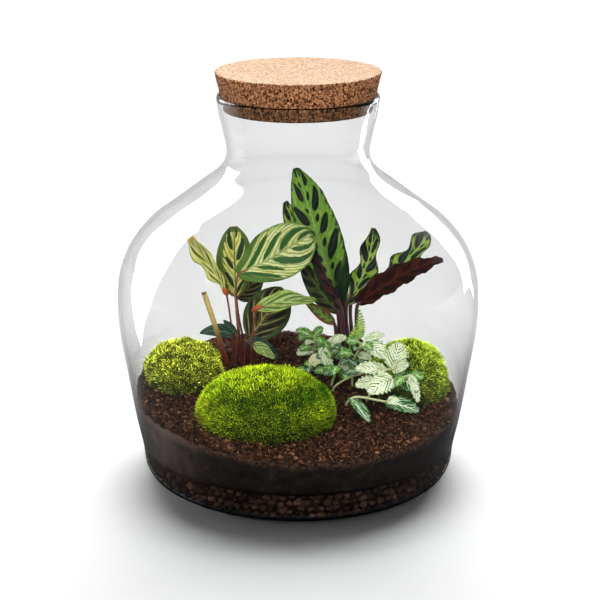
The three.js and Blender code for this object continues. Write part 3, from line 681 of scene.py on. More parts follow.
def makeMoss(side, cushion):
    rng = random.Random(29)
    look = mossLook("moss" + side.capitalize(), cushion)
    places = []
    golden = math.pi * (3 - math.sqrt(5))
    count = cushion["tufts"]
    for k in range(count):
        height = 1 - (k + 0.5) / count            # even over a dome
        rise = math.asin(max(height, 0.015) ** 0.93)
        turn = k * golden
        spot, normal = mossSpot(cushion, turn, rise, sink=cushion["reach"] * 0.6)
        spot[2] -= 3 * max(0, 1 - height / 0.14)
        lean = normal + np.array([rng.gauss(0, 0.2) for _ in range(3)])
        lean[2] += 0.1
        size = mm * rng.uniform(0.8, 1.15)
        places.append(standOn(spot * mm, lean, rng.uniform(0, 6.28), (size, size, size)))
    keepMesh(scatter(tuftTemplates(cushion), places), "mossNeedles" + side.capitalize(), [look],
             cushion["slot"], ["moss_cushion_" + side])
    makeMossHeart(side, cushion)


# The cushion that the needles stand in, dark as painted shade among them.
def makeMossHeart(side, cushion):
    bm = bmesh.new()
    bmesh.ops.create_uvsphere(bm, u_segments=64, v_segments=32, radius=1)
    seat = soilTop(cushion["x"], cushion["y"]) - 3
    middle = np.array((cushion["x"], cushion["y"]))
    for vert in bm.verts:
        rise = math.asin(max(-1, min(1, vert.co.z)))
        turn = math.atan2(vert.co.y, vert.co.x)
        spot, _ = mossSpot(cushion, turn, max(rise, 0), sink=cushion["reach"] * 0.8)
        if rise < 0:
            spot[2] += (seat - spot[2]) * math.sin(-rise)
            spot[:2] = middle + (spot[:2] - middle) * math.cos(rise) ** 0.3
        vert.co = Vector(spot) * mm
    dark, tree, surface = newMaterial("mossHeart" + side.capitalize(), 0.9)
    colorOf(tree, surface, ramp(tree, clouds(tree, 300, 4), [(0.35, [0.4 * c for c in cushion["deep"]]),
                                                            (0.7, [1.3 * c for c in cushion["deep"]])]))
    keepPiece(bm, "mossHeart" + side.capitalize(), [dark], cushion["slot"])


# where the widest place of each outline lies, and how full it is
outlines = {"oval": (0.9, 0.6), "broadTip": (1.1, 0.62), "lance": (0.85, 0.8), "long": (0.9, 0.7),
            "tall": (1.02, 0.76), "strap": (0.95, 0.6), "blunt": (1.75, 0.42), "pointed": (0.68, 1.0),
            "broadFoot": (0.72, 0.7), "roundTip": (1.3, 0.5)}
leafBuild = {"ends": (0.03, 0.98), "edgeLag": 1.6, "thick": 0.45, "thin": 0.2, "stalkRun": 0.14,
             "sheath": 0.5, "holeDepth": 8}

# How each kind of leaf face is marked. cells: blotches on each side of the rib; slant: how far a side
# vein runs towards the tip; blotch: (width, middle, reach) from rib to edge.
leafLooks = {
    "creamOval": {"ground": (0.7, 0.63, 0.11), "ground2": (0.76, 0.75, 0.27),
                  "blotch": (0.012, 0.045, 0.014), "cells": 3.6, "slant": 0.4,
                  "shape": (0.5, 0.34, 0.25), "rim": (0.075, 0.12, 0.018), "rimFrom": 0.58,
                  "lines": 0.6, "lineColor": (0.16, 0.22, 0.03), "rib": (0.16, 0.16, 0.04),
                  "ribWide": 0.06},
    "creamNarrow": {"ground": (0.86, 0.81, 0.24), "ground2": (0.96, 0.94, 0.46),
                    "blotch": (0.12, 0.16, 0.02), "cells": 4.2, "slant": 0.5,
                    "shape": (0.5, 0.42, 0.26), "rim": (0.42, 0.44, 0.08), "rimFrom": 0.82,
                    "lines": 0.6, "lineColor": (0.34, 0.38, 0.07), "rib": (0.3, 0.32, 0.1),
                    "tip": (0.6, 0.42, 0.1), "tipFrom": 0.9},
    "creamStriped": {"ground": (0.74, 0.72, 0.24), "ground2": (0.82, 0.84, 0.44),
                     "blotch": (0.03, 0.12, 0.018), "cells": 4.3, "slant": 0.5,
                     "shape": (0.56, 0.42, 0.36), "rim": (0.15, 0.26, 0.045), "rimFrom": 0.87,
                     "lines": 0.75, "lineColor": (0.18, 0.32, 0.05), "rib": (0.32, 0.4, 0.13),
                     "foot": (0.09, 0.18, 0.022), "footFrom": 0.0, "ribWide": 0.045},
    "paleStriped": {"ground": (0.34, 0.42, 0.08), "ground2": (0.56, 0.6, 0.22),
                    "blotch": (0.07, 0.15, 0.03), "cells": 3.4, "slant": 0.6, "shape": (0.55, 0.5, 0.5),
                    "rim": (0.28, 0.4, 0.06), "rimFrom": 0.84, "lines": 0.6,
                    "lineColor": (0.17, 0.28, 0.06), "rib": (0.2, 0.28, 0.07),
                    "tip": (0.03, 0.05, 0.01), "tipFrom": 0.93},
    "brownUnder": {"ground": (0.03, 0.02, 0.007), "ground2": (0.075, 0.07, 0.016),
                   "blotch": (0.012, 0.008, 0.004), "cells": 4.5, "slant": 0.5,
                   "shape": (0.55, 0.5, 0.36), "rim": (0.045, 0.075, 0.013), "rimFrom": 0.72,
                   "lines": 0.5, "lineColor": (0.11, 0.1, 0.03), "rib": (0.36, 0.27, 0.1),
                   "veins": (0.46, 0.4, 0.13), "ribWide": 0.05},
    "darkTeal": {"ground": (0.02, 0.055, 0.035), "ground2": (0.045, 0.1, 0.065),
                 "blotch": (0.009, 0.026, 0.02), "cells": 5, "slant": 0.35, "shape": (0.5, 0.5, 0.4),
                 "rim": (0.02, 0.05, 0.035), "rimFrom": 0.86, "lines": 0.4,
                 "lineColor": (0.09, 0.17, 0.1), "rib": (0.12, 0.22, 0.12)},
    "limeSpotted": {"ground": (0.16, 0.36, 0.028), "ground2": (0.3, 0.52, 0.08),
                    "blotch": (0.003, 0.01, 0.0085), "cells": 6.0, "slant": 0.18,
                    "shape": (0.56, 0.5, 0.33), "rim": (0.015, 0.06, 0.01), "rimFrom": 0.9,
                    "even": 0.25, "lines": 0.25, "lineColor": (0.08, 0.22, 0.018),
                    "rib": (0.34, 0.52, 0.14), "ribWide": 0.055, "dots": True, "footFrom": 0.2,
                    "foot": (0.012, 0.045, 0.014)},
    "limeWaved": {"ground": (0.16, 0.35, 0.03), "ground2": (0.42, 0.54, 0.08),
                  "blotch": (0.003, 0.012, 0.009), "cells": 4.2, "slant": 0.18,
                  "shape": (0.62, 0.5, 0.42), "rim": (0.015, 0.05, 0.01), "rimFrom": 0.84, "even": 0.3,
                  "lines": 0.15, "lineColor": (0.1, 0.24, 0.02), "rib": (0.36, 0.5, 0.14), "dots": True},
    # Painted shade: the rattlesnake leaf's colours, darkened for leaves that stand in shade behind others.
    "olive": {"ground": (0.04, 0.055, 0.012), "ground2": (0.09, 0.12, 0.022),
              "blotch": (0.009, 0.012, 0.006), "cells": 4.5, "slant": 0.2, "shape": (0.5, 0.5, 0.38),
              "rim": (0.012, 0.02, 0.007), "rimFrom": 0.86, "lines": 0.3,
              "lineColor": (0.02, 0.035, 0.012), "rib": (0.12, 0.14, 0.045)},
    "purpleUnder": {"ground": (0.036, 0.0055, 0.003), "ground2": (0.085, 0.012, 0.006),
                    "blotch": (0.02, 0.004, 0.003), "cells": 5.5, "slant": 0.16,
                    "shape": (0.55, 0.5, 0.44), "rim": (0.025, 0.006, 0.004), "rimFrom": 0.93,
                    "lines": 0.3, "lineColor": (0.03, 0.007, 0.005), "rib": (0.09, 0.02, 0.012),
                    "gloss": 0.12},
    "plumRolled": {"ground": (0.06, 0.007, 0.014), "ground2": (0.13, 0.012, 0.026),
                   "blotch": (0.014, 0.005, 0.008), "cells": 5, "slant": 0.2, "shape": (0.5, 0.3, 0.3),
                   "rim": (0.014, 0.026, 0.012), "rimFrom": 0.6, "lines": 0.3,
                   "lineColor": (0.03, 0.006, 0.01), "rib": (0.3, 0.03, 0.05)},
    "greenRed": {"ground": (0.1, 0.2, 0.02), "ground2": (0.19, 0.3, 0.05),
                 "blotch": (0.025, 0.07, 0.012), "cells": 5, "slant": 0.2, "shape": (0.4, 0.5, 0.34),
                 "rim": (0.17, 0.035, 0.012), "rimFrom": 0.55, "lines": 0.2,
                 "lineColor": (0.08, 0.16, 0.02), "rib": (0.2, 0.28, 0.08)},
    "nerveWhite": {"ground": (0.84, 0.92, 0.6), "ground2": (0.95, 0.98, 0.78),
                   "blotch": (0.84, 0.92, 0.6), "cells": 5, "slant": 0.5, "shape": (0.4, 0.5, 0.4),
                   "rim": (0.16, 0.36, 0.1), "rimFrom": 0.9, "lines": 1.0,
                   "lineColor": (0.006, 0.09, 0.006), "rib": (0.95, 0.97, 0.88), "lineCount": 1.4,
                   "lineFrom": 0.3, "lineEdge": 0.3},
    "nerveGreen": {"ground": (0.008, 0.075, 0.006), "ground2": (0.025, 0.16, 0.014),
                   "blotch": (0.01, 0.08, 0.008), "cells": 4, "slant": 0.5, "shape": (0.2, 0.6, 0.3),
                   "rim": (0.02, 0.13, 0.02), "rimFrom": 0.93, "lines": 1.0,
                   "lineColor": (0.74, 0.84, 0.64), "rib": (0.86, 0.9, 0.8), "lineCount": 1.5,
                   "lineFrom": 0.62, "lineEdge": 0.25},
    "nerveFresh": {"ground": (0.06, 0.26, 0.012), "ground2": (0.22, 0.5, 0.035),
                   "blotch": (0.03, 0.2, 0.01), "cells": 3, "slant": 0.5, "shape": (0.5, 0.6, 0.3),
                   "rim": (0.03, 0.2, 0.012), "rimFrom": 0.88, "lines": 0.85,
                   "lineColor": (0.76, 0.86, 0.55), "rib": (0.86, 0.9, 0.7), "lineCount": 1.6,
                   "lineFrom": 0.45, "lineEdge": 0.3},
    "nervePale": {"ground": (0.86, 0.8, 0.5), "ground2": (0.92, 0.86, 0.68),
                  "blotch": (0.8, 0.76, 0.45), "cells": 5, "slant": 0.4, "shape": (0.2, 0.6, 0.3),
                  "rim": (0.7, 0.7, 0.36), "rimFrom": 0.9, "lines": 0.25,
                  "lineColor": (0.66, 0.62, 0.3), "rib": (0.9, 0.86, 0.6)},
}

leafLooks["limeDarkTip"] = {**leafLooks["limeWaved"], "tip": (0.03, 0.05, 0.012), "tipFrom": 0.86}


def leafFace(name, look):
    material, tree, surface = newMaterial(name, 0.42, Specular_IOR_Level=look.get("gloss", 0.3))
    uv = put(tree, "UVMap").outputs[0]
    parts = put(tree, "SeparateXYZ", {"Vector": uv})
    across, along = parts.outputs[0], parts.outputs[1]
    spread = put(tree, "Mapping", {"Vector": uv, "Scale": (5, 14, 1)}).outputs[0]
    drift = sums(tree, "SUBTRACT", clouds(tree, 1.0, 3, spread), 0.5)
    signed = sums(tree, "MULTIPLY_ADD", across, 2.0, -1.0)
    out = sums(tree, "ABSOLUTE", signed)                       # 0 on the rib, 1 at the edge
    flank = sums(tree, "GREATER_THAN", across, 0.5)
    bow = sums(tree, "MULTIPLY", out, sums(tree, "MULTIPLY_ADD", out, 0.4, 0.7))
    vein = sums(tree, "SUBTRACT", along, sums(tree, "MULTIPLY", bow, look["slant"]))
    vein = sums(tree, "MULTIPLY_ADD", drift, look.get("even", 0.45) / 8, vein)
    cell = sums(tree, "MULTIPLY_ADD", flank, 0.5, sums(tree, "MULTIPLY", vein, look["cells"]))
    inCell = sums(tree, "ABSOLUTE", sums(tree, "MULTIPLY_ADD", sums(tree, "FRACT", cell), 2.0, -1.0))
    order = sums(tree, "MULTIPLY_ADD", flank, 17.0, sums(tree, "FLOOR", cell))
    chance = put(tree, "TexWhiteNoise", {"W": order}, noise_dimensions="1D").outputs["Value"]
    width, middle, reach = look["shape"]

    def spot(distance, wide, centre, long, chance=chance):
        even = look.get("even", 0.45)
        size = sums(tree, "MULTIPLY_ADD", chance, even, 1 - even / 2)         # no two blotches alike
        high = sums(tree, "POWER", sums(tree, "DIVIDE", distance, sums(tree, "MULTIPLY", size, wide)), 2.0)
        shifted = sums(tree, "SUBTRACT", out, sums(tree, "MULTIPLY_ADD", chance, 0.12, centre - 0.06))
        side = sums(tree, "DIVIDE", shifted, sums(tree, "MULTIPLY", size, long))
        return step(tree, sums(tree, "ADD", high, sums(tree, "MULTIPLY", side, side)), 1.3, 0.8)

    mottled = step(tree, clouds(tree, 0.7, 4, spread), 0.35, 0.65)
    ground = blend(tree, mottled, look["ground"], look["ground2"])
    stripes = sums(tree, "SINE", sums(tree, "MULTIPLY", cell, 6.2832 * look.get("lineCount", 3)))
    stripes = sums(tree, "MULTIPLY_ADD", drift, 1.2, stripes)
    lineFrom = look.get("lineFrom", -0.1)
    stripes = step(tree, stripes, lineFrom, lineFrom + look.get("lineEdge", 0.6))
    color = blend(tree, sums(tree, "MULTIPLY", stripes, look["lines"]), ground, look["lineColor"])
    if "veins" in look:
        color = blend(tree, step(tree, inCell, 0.8, 0.95), color, look["veins"])
    rimFrom = look["rimFrom"]
    edge = sums(tree, "MULTIPLY_ADD", drift, 0.3, out)
    edge = sums(tree, "MULTIPLY_ADD", stripes, 0.09, edge)
    edge = sums(tree, "MAXIMUM", edge, step(tree, along, 0.8, 1.0))
    rim = step(tree, edge, rimFrom, min(rimFrom + 0.12, 1))
    pale = [min(1, 1.5 * c) for c in look["rim"]]
    rimColor = blend(tree, sums(tree, "MULTIPLY", stripes, 0.6), look["rim"], pale)
    color = blend(tree, rim, color, rimColor)
    color = blend(tree, spot(inCell, width, middle, reach), color, look["blotch"])
    if "dots" in look:
        order = sums(tree, "MULTIPLY_ADD", flank, 13.0, sums(tree, "ROUND", cell))
        other = put(tree, "TexWhiteNoise", {"W": order}, noise_dimensions="1D").outputs["Value"]
        small = spot(sums(tree, "SUBTRACT", 1.0, inCell), 0.26, 0.2, 0.1, other)
        color = blend(tree, small, color, look["blotch"])
        sheen = spot(inCell, width * 0.3, middle, reach * 0.8)
        color = blend(tree, sums(tree, "MULTIPLY", sheen, 0.25), color, (0.05, 0.09, 0.075))
    if "foot" in look:
        start = look.get("footFrom", 0.08)
        color = blend(tree, step(tree, vein, start, start - 0.1), color, look["foot"])
    if "tip" in look:
        color = blend(tree, step(tree, along, look["tipFrom"], look["tipFrom"] + 0.08), color, look["tip"])
    ribWide = look.get("ribWide", 0.08)
    color = blend(tree, step(tree, out, ribWide, 0.4 * ribWide), color, look["rib"])
    worn = clouds(tree, 3.0, 4, spread)
    color = blend(tree, step(tree, worn, 0.45, 0.8), color, (0.6, 0.62, 0.5), "MULTIPLY")
    colorOf(tree, surface, color)
    ridges = sums(tree, "SINE", sums(tree, "MULTIPLY", cell, 6.2832 * 4))
    bumpy(tree, surface, sums(tree, "ADD", ridges, clouds(tree, 700, 2)), 0.3, 0.0005)
    behind = put(tree, "BsdfTranslucent", {"Color": color})      # light from behind shows through a leaf
    mix = put(tree, "MixShader", {0: 0.22, 1: surface.outputs["BSDF"], 2: behind.outputs[0]})
    tree.links.new(mix.outputs[0], tree.nodes["Material Output"].inputs["Surface"])
    return material


leafFaces = {}


def faceOf(look):
    if look not in leafFaces:
        leafFaces[look] = leafFace(look, leafLooks[look])
    return leafFaces[look]


# The midrib passes through its middle point.
def ribOf(foot, middle, tip):
    foot, middle, tip = Vector(foot), Vector(middle), Vector(tip)
    bend = 2 * middle - (foot + tip) / 2

    def at(share):
        return (1 - share) ** 2 * foot + 2 * share * (1 - share) * bend + share ** 2 * tip

    def run(share):
        return (2 * (1 - share) * (bend - foot) + 2 * share * (tip - bend)).normalized()

    return at, run


def drawBlade(bm, leaf, columns, rows):
    at, run = ribOf(leaf["foot"], leaf["middle"], leaf["tip"])
    peak, full = outlines[leaf["outline"]]
    rise = math.tan(math.radians(leaf.get("fold", 10)))
    wave, waves = leaf.get("wave", 0), leaf.get("waves", 1)
    low, high = leafBuild["ends"]
    veins, ridge = leaf.get("veins", 9), leaf.get("ridge", 0.22)
    flutter, teeth = leaf.get("flutter", 0.25), leaf.get("teeth", 0)
    made = bmesh.ops.create_grid(bm, x_segments=columns, y_segments=rows, size=1, calc_uvs=True)["verts"]
    for vert in made:
        across, along = vert.co.x, (vert.co.y + 1) / 2
        direction = run(along)
        side = direction.cross(Vector(leaf["face"])).normalized()
        normal = side.cross(direction)
        place = low + (high - low) * along
        width = leaf["half"] * math.sin(math.pi * place ** peak) ** full
        edge = abs(across)
        if teeth:
            width *= 1 + 0.42 * edge ** 3 * ((teeth * along) % 1 - 0.6)
        lag = leafBuild["edgeLag"] if across < 0 else 0
        width *= 1 + leaf.get("wobble", 0) * edge * math.sin(2 * math.pi * waves * along + 1.4 * lag + 0.6)
        ripple = wave * edge ** 2 * math.sin(2 * math.pi * waves * along + lag)
        ripple += flutter * edge ** 3 * math.sin(2 * math.pi * 2.7 * waves * along + 2 * lag)
        puff = ridge * math.sin(math.pi * edge) * math.sin(2 * math.pi * veins * (along - 0.25 * edge))
        groove = -0.3 * math.exp(-(edge / 0.07) ** 2)
        lift = width * edge * rise + ripple + puff + groove
        vert.co = (at(along) + side * width * across + normal * lift) * mm
    return made


# A small blade that gets its thickness at once.
def drawSmallBlade(bm, leaf, columns, rows, face=0):
    made = drawBlade(bm, leaf, columns, rows)
    sheet = list({part for vert in made for part in vert.link_faces})
    for part in sheet:
        part.material_index = face
    bmesh.ops.solidify(bm, geom=sheet, thickness=leafBuild["thin"] * mm)


def stemPoints(root, straight, points):
    ground = soilTop(*root)
    levels = (ground - leafBuild["holeDepth"] + 0.4, ground - 1, ground + straight)
    return [(*root, level) for level in levels] + points


# moss_cushion to MossCushion
def joined(name):
    return "".join(word.capitalize() for word in name.split("_"))


def makeLeaf(node, leaf, stalk, stalkLook, slot):
    bm = bmesh.new()
    bm.loops.layers.uv.new("UVMap")
    big = leaf["half"] > 12
    drawBlade(bm, leaf, 28 if big else 16, 84 if big else 56)
    name = node[0] + joined(node)[1:]
    faces = [faceOf(leaf["look"]), faceOf(leaf.get("under", leaf["look"]))]
    blade = keepPiece(bm, name, faces, slot, [node])
    shell = blade.modifiers.new("thickness", "SOLIDIFY")
    shell.thickness = leafBuild["thick"] * mm
    shell.offset = 0
    shell.material_offset = 1
    at, _ = ribOf(leaf["foot"], leaf["middle"], leaf["tip"])
    points = stemPoints(leaf["root"], 4, [at(0), at(leaf.get("run", leafBuild["stalkRun"]))])
    steps = 26
    line = [spot * mm for spot in curveThrough(points, steps)]
    thick, thin = stalk
    radii = [thick + (thin - thick) * min(1, 1.6 * k / steps) for k in range(steps + 1)]
    radii[:9] = [radius + leafBuild["sheath"] * (1 - k / 9) for k, radius in enumerate(radii[:9])]
    radii[-1] *= 0.45
    bar = bmesh.new()
    drawBar(bar, line, [radius * mm for radius in radii], 10)
    bmesh.ops.recalc_face_normals(bar, faces=bar.faces)
    keepPiece(bar, name + "Stalk", [stalkLook], slot)
    if "knee" in leaf:       # the swollen joint under the leaf
        bar = bmesh.new()
        spots = curveThrough([at(-0.09), at(0), at(0.1)], 10)
        swell = [leaf["knee"] * (0.35 + 0.65 * math.sin(math.pi * (k + 0.5) / 11)) for k in range(11)]
        drawBar(bar, [spot * mm for spot in spots], [size * mm for size in swell], 12)
        bmesh.ops.recalc_face_normals(bar, faces=bar.faces)
        red = stalkMaterial("redJoint", (0.26, 0.028, 0.004), (0.46, 0.085, 0.008), 120)
        keepPiece(bar, name + "Joint", [red], slot)


def stalkMaterial(name, low, high, split, end=1000):
    material, tree, surface = newMaterial(name, 0.42)
    height = axisOf(tree, 2)
    height = sums(tree, "MULTIPLY_ADD", clouds(tree, 90, 3), 0.02, height)
    # Darker below split: the stalk's own colour, and painted shade low among the stalks.
    color = blend(tree, step(tree, height, (split - 12) * mm, (split + 22) * mm), low, high)
    streak = put(tree, "Mapping", {"Vector": objectPlace(tree), "Scale": (1, 1, 0.06)}).outputs[0]
    color = blend(tree, step(tree, clouds(tree, 1500, 3, streak), 0.45, 0.75), color, [0.45 * c for c in low])
    color = blend(tree, step(tree, height, (end - 1) * mm, (end + 1) * mm), color, (0.03, 0.02, 0.01))
    colorOf(tree, surface, color)
    bumpy(tree, surface, clouds(tree, 1400, 2, streak), 0.4, 0.0004)
    return material


# The plants' leaf and stem points were picked in the photograph and turned to mm by a program,
# and many were then moved.
peacockPlant = {
    "stalk": (1.35, 0.8),
    "leaves": {
        "narrow": {"root": (-51, 50), "foot": (-57, 49, 121), "middle": (-67, 47, 141),
                   "tip": (-84, 44, 167), "half": 7.8, "face": (-0.5, -0.8, 0.2), "fold": 18,
                   "wave": 2.0, "waves": 2.5, "wobble": 0.1, "outline": "blunt", "look": "creamNarrow",
                   "knee": 2.6},
        "upright": {"root": (-47, 56), "foot": (-50, 56, 115), "middle": (-50, 58, 142),
                    "tip": (-51, 62, 170), "half": 14.5, "face": (0, -1, 0.15), "fold": 8,
                    "outline": "broadTip", "look": "creamOval", "under": "brownUnder"},
        "large": {"root": (-45.5, 49.5), "foot": (-47, 46, 136), "middle": (-18, 41, 153),
                  "tip": (11.5, 36, 170), "half": 20.5, "face": (0.1, -0.9, 0.35), "fold": 6,
                  "outline": "roundTip", "look": "creamStriped", "under": "brownUnder", "ridge": 0.35,
                  "wave": 1.4, "waves": 2.2},
        "behind": {"root": (-42.5, 60), "foot": (-49, 67, 110), "middle": (-41, 68, 118),
                   "tip": (-29, 68, 131), "half": 11, "face": (0.2, 0.9, 0.2), "fold": 6,
                   "outline": "oval", "look": "creamOval", "under": "brownUnder"},
        "round": {"root": (-40, 56), "foot": (-38, 54, 81), "middle": (-24, 55, 102),
                  "tip": (-11, 56, 121), "half": 18, "face": (0.25, 0.95, 0), "fold": 6,
                  "outline": "oval", "look": "creamOval", "under": "brownUnder"},
        "light": {"root": (-36, 42.5), "foot": (-32, 34, 111.5), "middle": (-9, 28, 120),
                  "tip": (15, 26, 121), "half": 11, "face": (0, -0.45, 0.9), "fold": 8, "wave": 1.2,
                  "waves": 2, "outline": "pointed", "look": "paleStriped", "under": "brownUnder",
                  "knee": 2.7},
        "dark_left": {"root": (-52, 58), "foot": (-50, 60, 79), "middle": (-63, 59, 84.5),
                      "tip": (-79, 58, 83), "half": 6, "face": (0.1, -0.7, 0.7), "fold": 10,
                      "outline": "lance", "look": "darkTeal"},
        "small": {"root": (-50, 43.5), "foot": (-48.5, 43.5, 86), "middle": (-54, 43, 93),
                  "tip": (-59, 43, 99), "half": 3.2, "face": (0.5, -0.8, 0.3), "fold": 15,
                  "outline": "lance", "look": "darkTeal"},
        "dark_low": {"root": (-43, 46), "foot": (-40.5, 48, 80.5), "middle": (-29, 48, 75),
                     "tip": (-15, 48, 65.5), "half": 6.5, "face": (0, -0.6, 0.8), "fold": 12,
                     "outline": "lance", "look": "darkTeal"},
        "light_low": {"root": (-37, 35.5), "foot": (-35.5, 35, 81), "middle": (-28, 33.5, 78),
                      "tip": (-18, 32, 70.5), "half": 4.6, "face": (-0.2, -0.7, 0.7), "fold": 12,
                      "outline": "lance", "look": "paleStriped"},
    },
    "cut": {"root": (-57, 45), "middle": (-65, 44, 91), "top": (-74, 43, 122.4), "radius": 2.1},
}
leafSlots = {"creamOval": "leaf_cream", "creamNarrow": "leaf_cream", "creamStriped": "leaf_cream",
             "paleStriped": "leaf_cream", "brownUnder": "leaf_brown", "darkTeal": "leaf_teal",
             "limeSpotted": "leaf_green", "limeWaved": "leaf_green", "limeDarkTip": "leaf_green",
             "olive": "leaf_green",
             "purpleUnder": "leaf_purple", "plumRolled": "leaf_purple", "greenRed": "leaf_green"}


def seenSlot(leaf):
    shown = leaf["under"] if leaf["face"][1] > 0 else leaf["look"]
    return leafSlots[shown]


def makePeacockPlant():
    red = stalkMaterial("redStalk", (0.075, 0.01, 0.007), (0.24, 0.075, 0.04), 90)
    for name, leaf in peacockPlant["leaves"].items():
        makeLeaf("peacock_leaf_" + name, leaf, peacockPlant["stalk"], red, seenSlot(leaf))
    cut = peacockPlant["cut"]
    line = [spot * mm for spot in curveThrough(stemPoints(cut["root"], 2, [cut["middle"], cut["top"]]), 30)]
    bm = bmesh.new()
    drawBar(bm, line, [cut["radius"] * mm * (1 + 0.05 * math.sin(1.7 * k)) for k in range(31)], 14)
    bmesh.ops.recalc_face_normals(bm, faces=bm.faces)
    brown = stalkMaterial("cutStalk", (0.13, 0.022, 0.008), (0.56, 0.42, 0.14), 96, 131)
    keepPiece(bm, "peacockCutStalk", [brown], "stalk", ["peacock_cut_stalk"])


rattlesnakePlant = {
    "stalk": (2.3, 1.5),
    "leaves": {
        "tall": {"root": (37, 61), "foot": (34, 60, 105), "middle": (15.5, 60, 163),
                 "tip": (-2.5, 50, 220.5), "half": 17.5, "face": (0.22, -0.97, 0.1), "fold": 20,
                 "wave": 0.8, "waves": 3, "outline": "tall", "look": "limeSpotted",
                 "under": "purpleUnder"},
        "back_right": {"root": (42, 66.5), "foot": (36, 70, 108), "middle": (31, 72, 139),
                       "tip": (29.5, 73, 168), "half": 9, "face": (0.1, -1, 0.1), "fold": 15,
                       "wave": 0.6, "waves": 2, "outline": "lance", "look": "olive"},
        "back_left": {"root": (35, 69), "foot": (32, 74, 106), "middle": (6, 76, 147),
                      "tip": (-10, 78, 186), "half": 9, "face": (-0.1, -1, 0.1), "fold": 15,
                      "wave": 0.6, "waves": 2, "outline": "broadTip", "look": "limeWaved",
                      "under": "purpleUnder"},
        "dark_left": {"root": (32, 53), "foot": (31, 48, 104), "middle": (16, 49, 124),
                      "tip": (2, 50, 145), "half": 9, "face": (-0.3, -0.8, 0.5), "fold": 14,
                      "wave": 0.8, "waves": 2.5, "outline": "lance", "look": "olive"},
        "rolled": {"root": (36, 46), "foot": (34, 43, 109), "middle": (20, 43, 140),
                   "tip": (11.5, 44, 166), "half": 6, "face": (-0.75, -0.65, 0), "fold": 34,
                   "outline": "lance", "look": "plumRolled"},
        "small": {"root": (41.5, 52), "foot": (38.5, 50, 111), "middle": (53, 53, 140),
                  "tip": (59, 57, 170), "half": 8, "face": (0, -1, 0.1), "fold": 10, "wave": 3,
                  "waves": 2.4, "wobble": 0.3, "outline": "strap", "look": "limeDarkTip",
                  "under": "purpleUnder"},
        "far_right": {"root": (46, 60), "foot": (43, 62, 110), "middle": (77, 63, 134),
                      "tip": (103, 60, 166), "half": 9, "face": (-0.3, -0.75, 0.6), "fold": 10,
                      "wave": 2.6, "waves": 3.2, "wobble": 0.26, "outline": "blunt",
                      "look": "limeWaved", "under": "purpleUnder"},
        "purple": {"root": (47.5, 48), "foot": (47, 46, 111.5), "middle": (79.5, 42, 136.5),
                   "tip": (112.5, 38, 150.5), "half": 10.5, "face": (-0.15, 0.95, 0.2), "fold": 8,
                   "wave": 1.7, "waves": 4.5, "flutter": 0.6, "run": 0.04, "outline": "broadFoot",
                   "look": "limeSpotted", "under": "purpleUnder"},
        "low": {"root": (30, 45), "foot": (28.5, 40, 97), "middle": (18, 38, 106), "tip": (5, 36, 117),
                "half": 5, "face": (-0.2, -0.7, 0.6), "fold": 16, "outline": "lance", "look": "greenRed"},
    },
}


def makeRattlesnakePlant():
    dark = stalkMaterial("purpleStalk", (0.045, 0.014, 0.014), (0.08, 0.02, 0.03), 90)
    for name, leaf in rattlesnakePlant["leaves"].items():
        makeLeaf("rattlesnake_leaf_" + name, leaf, rattlesnakePlant["stalk"], dark, seenSlot(leaf))


